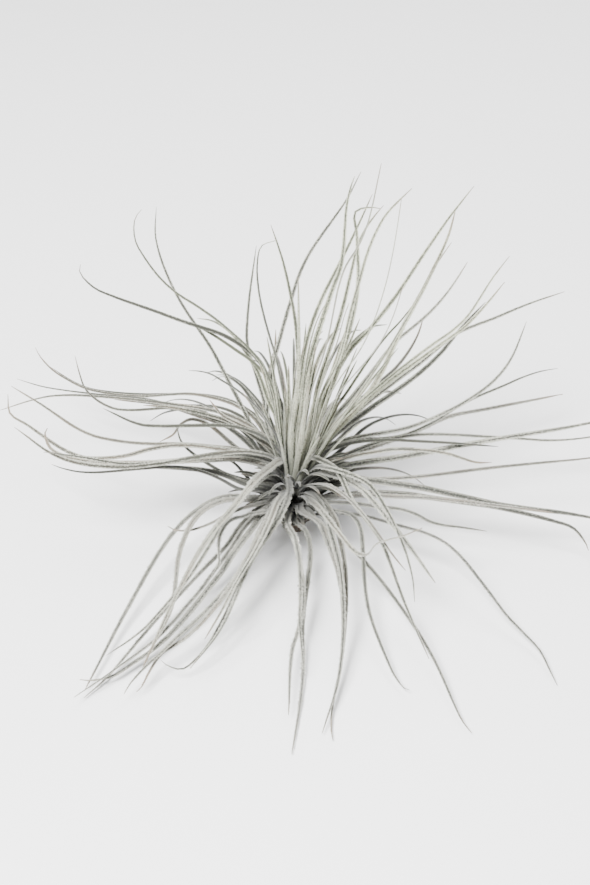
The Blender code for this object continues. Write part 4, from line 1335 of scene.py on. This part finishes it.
@dataclass
class BladeSweep:
    """Sweeps a channelled section along every leaf of a whorl. Sizes are in mm.

    The slimness is given for a few whorls, and the leaves of the two sets are broader and
    narrower than the others.
    """

    heart: Heart
    segments: int = 56
    sides: int = 14
    seed: int = 11
    tip_crowding: float = 1.15
    sheath_at: tuple[float, ...] = (0.0, 0.06, 0.14, 0.30, 0.55, 0.80, 0.94, 1.0)
    sheath: tuple[float, ...] = (5.2, 4.5, 4.1, 3.45, 2.65, 2.0, 1.2, 0.3)
    slimness_at: tuple[int, ...] = (0, 3, 6, 8)
    slimness: tuple[float, ...] = (0.80, 1.02, 0.80, 0.56)
    slim_share: float = 0.6
    broad: frozenset[int] = frozenset((5, 12, 17, 29, 35, 38, 39, 40, 45, 52, 65, 79, 89))
    narrow: frozenset[int] = frozenset((0, 20, 22, 48, 49, 70, 71, 72, 74))
    broader: float = 1.38
    narrower: float = 0.8
    stoutest: float = 1.02
    stout_felting: float = 0.4
    stout_from: float = 1.25
    stout_whorls: float = 2.0
    variety: Span = (0.84, 1.12)
    thickness: float = 0.42
    thickness_share: float = 0.14
    edge_lift: float = 0.17
    most_lift: float = 2.0
    twist: float = math.radians(26)
    twist_power: float = 0.7
    roll: float = math.radians(38)
    seam_step: float = 0.3
    tree: GrowthTree | None = None

    def growth(self) -> GrowthTree:
        """Make the tree that turns midribs into blades.

        Returns:
            The tree, which sweeps a ring along each midrib and presses it to a channel.
        """
        tree = GrowthTree("blade_sweep", {"Sides": "NodeSocketInt",
                                          "Thickness": "NodeSocketFloat",
                                          "Thickness Share": "NodeSocketFloat"})
        given = tree.given
        midribs = tree.lay("GeometryNodeMeshToCurve", {"Mesh": given["Geometry"]}).outputs[0]
        midribs = tree.store(midribs, "centre", tree.lay("GeometryNodeInputPosition").outputs[0],
                             "FLOAT_VECTOR")
        ring = tree.lay("GeometryNodeCurvePrimitiveCircle", {"Resolution": given["Sides"],
                                                             "Radius": MM}).outputs[0]
        number = tree.lay("GeometryNodeInputIndex").outputs[0]
        ring = tree.store(ring, "around", tree.reckon("DIVIDE", number, given["Sides"]))
        blade = tree.lay("GeometryNodeCurveToMesh", {"Curve": midribs, "Profile Curve": ring,
                                                     "Fill Caps": True}).outputs[0]
        blade = tree.lay("GeometryNodeSetPosition", {"Geometry": blade,
                                                     "Position": self.spot(tree)}).outputs[0]
        around = tree.attribute("around")
        middle = tree.lay("GeometryNodeFieldOnDomain", {0: around}, domain="FACE").outputs[0]
        wraps = tree.reckon("GREATER_THAN", tree.reckon("SUBTRACT", middle, around),
                            self.seam_step)
        blade = tree.store(blade, MAP, tree.strip_place(tree.reckon("ADD", around, wraps)),
                           "FLOAT2", "CORNER")
        tree.close(tree.lay("GeometryNodeSetShadeSmooth", {"Geometry": blade}).outputs[0])
        return tree

    def spot(self, tree: GrowthTree) -> bpy.types.NodeSocket:
        """Work out where a point of a swept ring belongs on its channelled blade.

        Args:
            tree: The tree.

        Returns:
            The point's place.
        """
        given, half = tree.given, tree.attribute("half")
        angle = tree.reckon("MULTIPLY", tree.attribute("around"), 2 * math.pi)
        side, up = tree.reckon("COSINE", angle), tree.reckon("SINE", angle)
        thick = tree.reckon("MULTIPLY_ADD", half, given["Thickness Share"], given["Thickness"])
        thick = tree.reckon("MINIMUM", thick, half)
        lifted = tree.reckon("MULTIPLY", tree.attribute("lift"), tree.reckon("MULTIPLY", side, side))
        rise = tree.reckon("MULTIPLY_ADD", up, thick, lifted)
        spot = tree.vector("ADD", tree.attribute("centre", "FLOAT_VECTOR"),
                           tree.vector("SCALE", tree.attribute("across", "FLOAT_VECTOR"),
                                       tree.reckon("MULTIPLY", side, half)))
        return tree.vector("ADD", spot, tree.vector("SCALE", tree.attribute("face", "FLOAT_VECTOR"),
                                                    rise))

    def half_widths(self, leaf: Leaf, share: Points, tint: float, felting: float) -> Points:
        """Find half the width of a blade along its leaf.

        Args:
            leaf: The leaf.
            share: Shares of the leaf's length.
            tint: The leaf's random tint, from 0 to 1.
            felting: How thickly the leaf is felted, from 0 to 1.

        Returns:
            Half the width at each share.
        """
        half = np.interp(share, self.sheath_at, self.sheath) / 2
        half *= self.breadth(leaf.number, tint)
        slim = np.interp(leaf.whorl, self.slimness_at, self.slimness)
        stout = (np.clip(felting / self.stout_felting - self.stout_from, 0, 1)
                 * np.clip((leaf.whorl - 1) / self.stout_whorls, 0, 1))
        slim += (self.stoutest - slim) * stout
        return half * (slim + (1 - slim) * np.clip(share / self.slim_share, 0, 1))

    def breadth(self, number: int, tint: float) -> float:
        """How broad a leaf is beside the others of its age.

        Args:
            number: The leaf's number.
            tint: The leaf's random tint, from 0 to 1.

        Returns:
            A factor on its width.
        """
        factor = float(np.interp(tint, (0.0, 1.0), self.variety))
        if number in self.broad:
            factor *= self.broader
        elif number in self.narrow:
            factor *= self.narrower
        return factor

    def midribs(self, name: str, leaves: list[Leaf], felting: dict[int, float]) -> bpy.types.Object:
        """Draw the midribs of a whorl, with what the sweep needs at each of their points.

        Args:
            name: The object's name.
            leaves: The whorl's leaves.
            felting: How thickly each leaf is felted, by its number.

        Returns:
            An object of loose edges.
        """
        kept = {key: [] for key in ("place", "across", "face", "way", "half", "lift", "share",
                                    "column", "tint", "felting")}
        edges = []
        draw = np.random.default_rng(self.seed + leaves[0].whorl)
        for column, leaf in enumerate(leaves):
            path = self.heart.dressed(leaf)
            run = lengths(path)
            share = np.linspace(0, 1, self.segments + 1) ** self.tip_crowding
            places = resample(path, share * run[-1])
            ways = np.gradient(places, axis=0)
            ways /= np.linalg.norm(ways, axis=1)[:, None]
            side = np.array([-leaf.outward[1], leaf.outward[0], 0.0])
            turn, tint = draw.uniform(-self.twist, self.twist), draw.uniform()
            turn += self.roll * leaf.outward[0]
            thick = felting[leaf.number]
            half = self.half_widths(leaf, share, tint, thick)
            first = len(kept["place"])
            edges += [(first + n, first + n + 1) for n in range(self.segments)]
            for place, way, part, width in zip(places, ways, share, half):
                side = side - (side @ way) * way
                side /= np.linalg.norm(side)
                face = np.cross(way, side)
                swing = turn * part ** self.twist_power
                values = (place * MM, side * math.cos(swing) + face * math.sin(swing),
                          face * math.cos(swing) - side * math.sin(swing), way, width * MM,
                          self.edge_lift * width * min(self.most_lift, width) * MM, part, column,
                          tint, thick)
                for key, value in zip(kept, values):
                    kept[key].append(value)
        mesh = bpy.data.meshes.new(name)
        mesh.from_pydata([tuple(place) for place in kept.pop("place")], edges, [])
        kept["columns"] = [float(len(leaves))] * len(mesh.vertices)
        for key, values in kept.items():
            values = np.array(values, np.float32)
            kind = "FLOAT_VECTOR" if values.ndim == 2 else "FLOAT"
            item = mesh.attributes.new(key, kind, "POINT")
            item.data.foreach_set("vector" if values.ndim == 2 else "value", values.ravel())
        return new_piece(name, mesh)

    def build(self, whorl: int, leaves: list[Leaf], felting: dict[int, float],
              material: bpy.types.Material) -> bpy.types.Object:
        """Make the blades of a whorl.

        Args:
            whorl: The whorl's number, from 0.
            leaves: Its leaves.
            felting: How thickly each leaf is felted.
            material: The blades' finish.

        Returns:
            The piece.
        """
        self.tree = self.tree or self.growth()
        piece = self.midribs("leaves_%02d" % (whorl + 1), leaves, felting)
        return self.tree.grow(piece, {"Sides": self.sides, "Thickness": self.thickness * MM / 2,
                                      "Thickness Share": self.thickness_share / 2,
                                      "Material": material})


@dataclass
class Felt:
    """Grows the silver scales on the blades of a whorl. Sizes are in mm.

    A pair of numbers for the felting is what a richly felted leaf gets more, and what
    every leaf gets. A pair for the margin is the same for the edge of a blade.
    """

    length: float = 0.65
    margin_length: float = 0.6
    radius: float = 0.12
    density: float = 4.8
    quick_share: float = 0.25
    seed: int = 40
    margin_span: Span = (0.75, 1.0)
    margin_crowd: Span = (1.9, 0.5)
    felting_crowd: Span = (1.3, 0.08)
    root_span: Span = (0.02, 0.1)
    root_crowd: float = 0.25
    margin_clumps: Span = (0.05, 0.47)
    stray: float = 0.45
    forward: float = 0.75
    length_spread: Span = (0.55, 1.35)
    felting_length: Span = (0.65, 0.45)
    tip_span: Span = (0.55, 1.0)
    tip_length: float = 0.45
    felting_breadth: Span = (0.6, 0.55)
    margin_breadth: float = 1.1
    flatness: float = 0.4
    map_spread: float = 6.0
    tree: GrowthTree | None = None

    def growth(self) -> GrowthTree:
        """Make the tree that sets a slim three-sided scale at random places on a blade.

        Returns:
            The tree. The scales stand in clumps and lean toward the leaf's tip.
        """
        tree = GrowthTree("felt", {"Density": "NodeSocketFloat", "Length": "NodeSocketFloat",
                                   "Margin Length": "NodeSocketFloat",
                                   "Radius": "NodeSocketFloat", "Seed": "NodeSocketInt"})
        given = tree.given
        share, around, rich = (tree.attribute(name) for name in ("share", "around", "felting"))
        angle = tree.reckon("MULTIPLY", around, 2 * math.pi)
        edge = tree.reckon("ABSOLUTE", tree.reckon("COSINE", angle))
        margin = tree.ramp(edge, *self.margin_span)
        crowd = tree.reckon("MULTIPLY_ADD", margin, *self.margin_crowd)
        crowd = tree.reckon("MULTIPLY", crowd, tree.ramp(share, *self.root_span, self.root_crowd))
        crowd = tree.reckon("MULTIPLY", crowd,
                            tree.reckon("MULTIPLY_ADD", rich, *self.felting_crowd))
        spots = tree.lay("GeometryNodeDistributePointsOnFaces",
                         {"Mesh": given["Geometry"], "Seed": given["Seed"],
                          "Density": tree.reckon("MULTIPLY", crowd, given["Density"])})
        stray = tree.lay("FunctionNodeRandomValue",
                         {0: (-self.stray,) * 3, 1: (self.stray,) * 3, "Seed": given["Seed"]},
                         data_type="FLOAT_VECTOR").outputs[0]
        way = tree.vector("SCALE", tree.attribute("way", "FLOAT_VECTOR"), self.forward)
        aim = tree.vector("ADD", tree.vector("ADD", spots.outputs["Normal"], way), stray)
        turned = tree.lay("FunctionNodeAlignRotationToVector", {"Vector": aim}, axis="Z")
        clump = tree.lay("ShaderNodeTexNoise",
                         {"Vector": tree.lay("GeometryNodeInputPosition").outputs[0],
                          "Scale": CLUMPS, "Detail": 2.0}).outputs[0]
        bare = tree.reckon("MULTIPLY_ADD", margin, *self.margin_clumps)
        grown = tree.lay("GeometryNodeInstanceOnPoints",
                         {"Points": spots.outputs["Points"], "Instance": self.scale(tree),
                          "Selection": tree.reckon("GREATER_THAN", clump, bare),
                          "Rotation": turned.outputs[0],
                          "Scale": self.sizes(tree, share, margin, rich)}).outputs[0]
        grown = tree.lay("GeometryNodeRealizeInstances", {"Geometry": grown}).outputs[0]
        spread = tree.vector("ADD", tree.strip_place(around),
                             tree.attribute("nub", "FLOAT_VECTOR"))
        tree.close(tree.store(grown, MAP, spread, "FLOAT2", "CORNER"))
        return tree

    def sizes(self, tree: GrowthTree, share: Feed, margin: Feed, rich: Feed) -> bpy.types.NodeSocket:
        """Work out how large each scale is: largest at the edges of richly felted leaves.

        Args:
            tree: The tree.
            share: How far along its leaf the scale stands.
            margin: How near to the blade's edge it stands.
            rich: How thickly its leaf is felted.

        Returns:
            Factors on the scale's thickness, breadth and length.
        """
        given = tree.given
        low, high = self.length_spread
        vary = tree.lay("FunctionNodeRandomValue", {2: low, 3: high, "Seed": given["Seed"]},
                        data_type="FLOAT").outputs[1]
        long = tree.reckon("MULTIPLY_ADD", margin, given["Margin Length"], given["Length"])
        long = tree.reckon("MULTIPLY", long, tree.reckon("MULTIPLY_ADD", rich, *self.felting_length))
        long = tree.reckon("MULTIPLY", long, tree.ramp(share, *self.tip_span, 1.0, self.tip_length))
        long = tree.reckon("DIVIDE", tree.reckon("MULTIPLY", long, vary), MM)
        broad = tree.reckon("MULTIPLY_ADD", rich, *self.felting_breadth)
        broad = tree.reckon("MULTIPLY_ADD", margin,
                            tree.reckon("MULTIPLY", rich, self.margin_breadth), broad)
        return tree.combined(tree.reckon("MULTIPLY", broad, self.flatness), broad, long)

    def scale(self, tree: GrowthTree) -> bpy.types.NodeSocket:
        """Make one scale: a cone of three sides, with its points' places on the map.

        Args:
            tree: The tree.

        Returns:
            The scale, a millimetre long.
        """
        cone = tree.lay("GeometryNodeMeshCone", {"Vertices": 3, "Side Segments": 1,
                                                 "Radius Top": 0.0,
                                                 "Radius Bottom": tree.given["Radius"],
                                                 "Depth": MM}, fill_type="NGON").outputs[0]
        nub = tree.vector("SCALE", tree.lay("GeometryNodeInputPosition").outputs[0],
                          self.map_spread)
        return tree.store(cone, "nub", nub, "FLOAT_VECTOR")

    def build(self, whorl: int, blades: bpy.types.Object,
              material: bpy.types.Material) -> bpy.types.Object:
        """Grow the felt of a whorl.

        Args:
            whorl: The whorl's number, from 0.
            blades: The whorl's blades.
            material: The scales' finish.

        Returns:
            The piece.
        """
        self.tree = self.tree or self.growth()
        piece = new_piece("felt_%02d" % (whorl + 1), blades.data.copy())
        density = self.density * 1.0
        self.tree.grow(piece, {"Density": density / MM**2, "Length": self.length * MM,
                               "Margin Length": self.margin_length * MM,
                               "Radius": self.radius * MM, "Seed": self.seed + whorl,
                               "Material": material})
        return piece


@dataclass
class Stem:
    """The stem under the leaves: the bulb's core and the dry woody foot. Sizes are in mm.

    A wave is how deep it is, how many there are round the stem, and how far it drifts
    with the height. A ring of the foot is how far it stands out, and its height, and the
    foot flares to its top, where the leaves start.
    """

    bulb: Bulb
    sides: int = 48
    waves: tuple[Place, ...] = ((0.6, 11, 1.0), (0.4, 23, -2.3))
    core_bark: float = 0.2
    core_rings: int = 30
    core_foot: float = 1.6
    core_top: float = 0.2
    core_inset: float = 0.6
    swell_height: float = 7.0
    swell_power: float = 0.6
    foot_bark: float = 0.35
    foot_rings: tuple[Span, ...] = ((-0.6, 0.0), (-0.1, 0.35), (0.0, 0.9), (-0.2, 2.0),
                                    (-0.3, 3.0), (0.3, 4.2), (1.1, 5.6))
    foot_flare: float = 1.5

    def turned(self, name: str, profile: list[Span], roughness: float,
               material: bpy.types.Material) -> bpy.types.Object:
        """Turn a profile about the stem's axis.

        Args:
            name: The piece's name.
            profile: Radius and height of each ring, from the bottom up.
            roughness: How far the surface wanders in and out.
            material: Its finish.

        Returns:
            The piece.
        """
        mesh = bmesh.new()
        rings = []
        for radius, height in profile:
            ring = []
            for number in range(self.sides):
                angle = 2 * math.pi * number / self.sides
                wander = roughness * (sum(deep * math.sin(count * angle + drift * height)
                                          for deep, count, drift in self.waves) - 1)
                ring.append(mesh.verts.new(Vector(((radius + wander) * math.cos(angle),
                                                   (radius + wander) * math.sin(angle),
                                                   height)) * MM))
            rings.append(ring)
        for low, high in zip(rings, rings[1:]):
            for number in range(self.sides):
                after = (number + 1) % self.sides
                mesh.faces.new((low[number], low[after], high[after], high[number]))
        mesh.faces.new(rings[0][::-1])
        mesh.faces.new(rings[-1])
        data = bpy.data.meshes.new(name)
        mesh.to_mesh(data)
        mesh.free()
        data.materials.append(material)
        for face in data.polygons:
            face.use_smooth = len(face.vertices) == 4
        return new_piece(name, data)

    def core(self, material: bpy.types.Material) -> bpy.types.Object:
        """Make the bulb that the leaves grow from.

        Args:
            material: Its finish.

        Returns:
            The piece.
        """
        low = self.bulb.foot_height - self.core_foot
        high = self.bulb.foot_height - self.core_top + self.bulb.whorls * self.bulb.pitch
        foot = self.bulb.foot_radius
        profile = []
        for height in np.linspace(low, high, self.core_rings):
            swell = np.clip((height - low) / self.swell_height, 0.0, 1.0) ** self.swell_power
            profile.append((foot + (self.bulb.radius(height) - self.core_inset - foot) * swell,
                            height))
        return self.turned("stem_core", profile, self.core_bark, material)

    def foot(self, material: bpy.types.Material) -> bpy.types.Object:
        """Make the woody foot, flat where it was cut.

        Args:
            material: Its finish.

        Returns:
            The piece.
        """
        radius, top = self.bulb.foot_radius, self.bulb.foot_height
        profile = [(radius + out, height) for out, height in self.foot_rings]
        profile.append((radius + self.foot_flare, top))
        return self.turned("foot_bark", profile, self.foot_bark, material)


@dataclass(frozen=True)
class Lamp:
    """A square soft light: where it hangs and its side in metres, and its power in watts."""

    name: str
    place: Place
    side: float
    power: float

    def hang(self, target: Place) -> bpy.types.Object:
        """Hang the light so that it faces the plant.

        Args:
            target: The place that it faces.

        Returns:
            The light.
        """
        light = bpy.data.lights.new(self.name, "AREA")
        light.shape, light.size, light.energy = "SQUARE", self.side, self.power
        item = bpy.data.objects.new(self.name, light)
        item.location = self.place
        way = Vector(target) - Vector(self.place)
        item.rotation_euler = way.to_track_quat("-Z", "Y").to_euler()
        bpy.context.scene.collection.objects.link(item)
        return item


@dataclass
class Studio:
    """The pale floor, the soft lights and the camera. Sizes are in metres."""

    sight: Sight
    picture_height: int = 885
    heart_row: float = 478.0
    millimetre_a_pixel: float = 0.62
    sensor: float = 36.0
    floor_half: float = 6.0
    floor_tones: tuple[Colour, Colour] = ((0.80, 0.80, 0.80), (0.83, 0.83, 0.83))
    floor_painted_light: Colour = (0.93, 0.93, 0.93)
    floor_painted_light_span: Span = (-0.5, 0.1)
    floor_scale: float = 3.0
    floor_roughness: float = 0.9
    floor_relief: float = 0.05
    floor_depth: float = 0.001
    lamps: tuple[Lamp, ...] = (Lamp("key_light", (-0.9, -1.2, 2.1), 1.1, 290.0),
                               Lamp("fill_light", (1.9, -0.8, 1.2), 1.6, 22.0),
                               Lamp("top_light", (0.5, 1.2, 2.1), 1.4, 80.0))
    lamp_target: Place = (0.0, 0.0, 0.05)
    sky: Colour = (0.95, 0.97, 1.0)
    sky_strength: float = 0.2

    def floor(self) -> bpy.types.Object:
        """Lay the floor that the plant rests on.

        Returns:
            The floor.
        """
        half = self.floor_half
        mesh = bpy.data.meshes.new("floor")
        mesh.from_pydata([(-half, -half, 0), (half, -half, 0), (half, half, 0),
                          (-half, half, 0)], [], [(0, 1, 2, 3)])
        dye = Dye("pale_floor", self.floor_roughness)
        cloud = dye.noise(dye.place, self.floor_scale)
        ahead = dye.lay("ShaderNodeSeparateXYZ", {0: dye.place}).outputs["Y"]
        pale = dye.mix(cloud, *self.floor_tones)
        # Painted light: the floor is paler toward the front, as if lit more there
        colour = dye.mix(dye.ramp(ahead, *self.floor_painted_light_span, 1.0, 0.0), pale, self.floor_painted_light)
        mesh.materials.append(dye.finish(colour, cloud, self.floor_relief, self.floor_depth))
        return new_piece("floor", mesh)

    def lights(self) -> None:
        """Hang the lights and set a pale sky."""
        for lamp in self.lamps:
            lamp.hang(self.lamp_target)
        world = bpy.data.worlds.new("pale_sky")
        world.use_nodes = True
        sky = world.node_tree.nodes["Background"]
        sky.inputs["Color"].default_value = (*self.sky, 1.0)
        sky.inputs["Strength"].default_value = self.sky_strength
        bpy.context.scene.world = world

    def camera(self) -> bpy.types.Object:
        """Stand the camera where the leaf rows are seen from.

        Returns:
            The camera.
        """
        view = bpy.data.cameras.new("camera")
        height = self.picture_height
        view.sensor_width = self.sensor
        view.lens = self.sensor * self.sight.distance / (height * self.millimetre_a_pixel)
        view.shift_y = (self.heart_row - height / 2) / height
        item = bpy.data.objects.new("camera", view)
        tilt, far = self.sight.tilt, self.sight.distance * MM
        item.location = (0.0, -far * math.cos(tilt),
                         self.sight.heart_height * MM + far * math.sin(tilt))
        item.rotation_euler = (math.pi / 2 - tilt, 0.0, 0.0)
        bpy.context.scene.collection.objects.link(item)
        bpy.context.scene.camera = item
        return item


@dataclass(frozen=True)
class Felting:
    """How thickly leaves are felted, from 0 to 1. Heights are in mm.

    The leaves that arch over in front are felted most, those of the tuft more than the others, and those on
    the left less: real felt, taken away on that side as painted shade. Three sets of leaves differ from the
    rule.
    """

    plain: float = 0.3
    front_gain: float = -1.5
    front_from: float = 0.1
    front_more: float = 0.8
    low_from: float = 1.1
    tall: float = 110.0
    tuft_depth: float = 60.0
    tuft_more: float = 0.28
    left_shade: float = 0.26
    swing: float = 0.4
    hoary: frozenset[int] = frozenset((30, 31, 32, 79))
    hoary_more: float = 0.5
    pale: frozenset[int] = frozenset((4, 12, 24, 26, 27, 28, 33, 35, 73, 77, 78, 80, 81, 89))
    pale_more: float = 0.25
    bare: frozenset[int] = frozenset((0, 1, 8, 13, 42, 43, 46, 48, 49, 50, 70, 71, 72, 74))
    bare_less: float = 0.35
    short_sheath: float = 0.28
    tuft_leaf: float = 0.55

    def thickness(self, leaf: Leaf) -> float:
        """Find how thickly a long leaf is felted.

        Args:
            leaf: The leaf.

        Returns:
            A number from 0 to 1.
        """
        tip, top = leaf.path[-1], leaf.path[:, 2].max()
        away = math.hypot(tip[0], tip[1])
        front = np.clip(self.front_gain * tip[1] / away - self.front_from, 0, 1)
        low = np.clip(self.low_from - top / self.tall, 0, 1)
        tuft = np.clip((top - self.tall) / self.tuft_depth, 0, 1)
        # Painted shade: leaves on the left get less felt, so fewer pale scales and more dark skin
        left = np.clip(-tip[0] / away, 0, 1) * (1 - front)
        vary = self.swing * (scatter(leaf.number) - 0.5)
        vary += (self.hoary_more * (leaf.number in self.hoary)
                 + self.pale_more * (leaf.number in self.pale)
                 - self.bare_less * (leaf.number in self.bare))
        return float(np.clip(self.plain + self.front_more * front * low + self.tuft_more * tuft
                             - self.left_shade * left + vary, 0, 1))


@dataclass
class AirPlant:
    """The whole plant, built from the stem up."""

    heart: Heart = field(default_factory=lambda: Heart(Rosette()))
    felting: Felting = Felting()
    old_whorls: int = 3
    young_whorls: int = 2

    @property
    def rosette(self) -> Rosette:
        """The long leaves."""
        return self.heart.rosette

    def slot_of(self, whorl: int) -> Slot:
        """Choose the slot of a whorl's finish, by its age.

        Args:
            whorl: The whorl's number, from 0.

        Returns:
            The slot.
        """
        if whorl < self.old_whorls:
            return Slot.OLD_LEAF
        if whorl >= self.rosette.bulb.whorls - self.young_whorls:
            return Slot.YOUNG_LEAF
        return Slot.SILVER_LEAF

    def leaves(self) -> tuple[list[Leaf], dict[int, float]]:
        """Lay out every leaf, long and short.

        Returns:
            The leaves, and how thickly each is felted, by its number.
        """
        leaves = self.rosette.leaves()
        felting = {leaf.number: self.felting.thickness(leaf) for leaf in leaves}
        for index in range(self.heart.short_sheaths):
            leaves.append(self.heart.short_sheath(index))
            felting[leaves[-1].number] = self.felting.short_sheath
        for index in range(self.heart.tuft_leaves):
            leaves.append(self.heart.tuft_leaf(index))
            felting[leaves[-1].number] = self.felting.tuft_leaf
        return leaves, felting

    def settle_piece(self, piece: bpy.types.Object, slot: Slot, *nodes: str) -> None:
        """Set a finished piece in the frame in the place of its nodes.

        Args:
            piece: The piece.
            slot: The slot of its finish; not used.
            nodes: The nodes that it replaces.
        """
        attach(piece, "root")
        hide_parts(*nodes)
        LOG.info("%s: %d faces", piece.name, len(piece.data.polygons))

    def build(self) -> None:
        """Build the stem, then the leaves and felt of every whorl."""
        skins = {finish.slot: finish.material() for finish in LEAF_FINISHES}
        felts = {finish.slot: finish.material() for finish in FELT_FINISHES}
        bark, heart = DRY_BARK.material(), SHADED_HEART_SKIN.material()
        stem = Stem(self.rosette.bulb)
        self.settle_piece(stem.foot(bark), Slot.STEM_BARK, "stem_foot")
        self.settle_piece(stem.core(heart), Slot.OLD_LEAF, "whorl_01")
        leaves, felting = self.leaves()
        sweep, felt = BladeSweep(self.heart), Felt()
        for whorl in range(self.rosette.bulb.whorls):
            slot = self.slot_of(whorl)
            own = [leaf for leaf in leaves if leaf.whorl == whorl]
            node = "whorl_%02d" % (whorl + 1)
            blades = sweep.build(whorl, own, felting, skins[slot])
            scales = felt.build(whorl, blades, felts[slot])
            drop_helpers(blades, *BLADE_MARKS)
            drop_helpers(scales, *FELT_MARKS)
            self.settle_piece(blades, slot, node)
            self.settle_piece(scales, slot, node)


def main() -> None:
    """Build the plant, the floor, the lights and the camera."""
    logging.basicConfig(level=logging.INFO, format="%(name)s %(message)s")
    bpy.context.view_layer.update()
    plant = AirPlant()
    plant.build()
    studio = Studio(plant.rosette.sight)
    studio.floor()
    studio.lights()
    studio.camera()


if __name__ == "__main__":
    main()
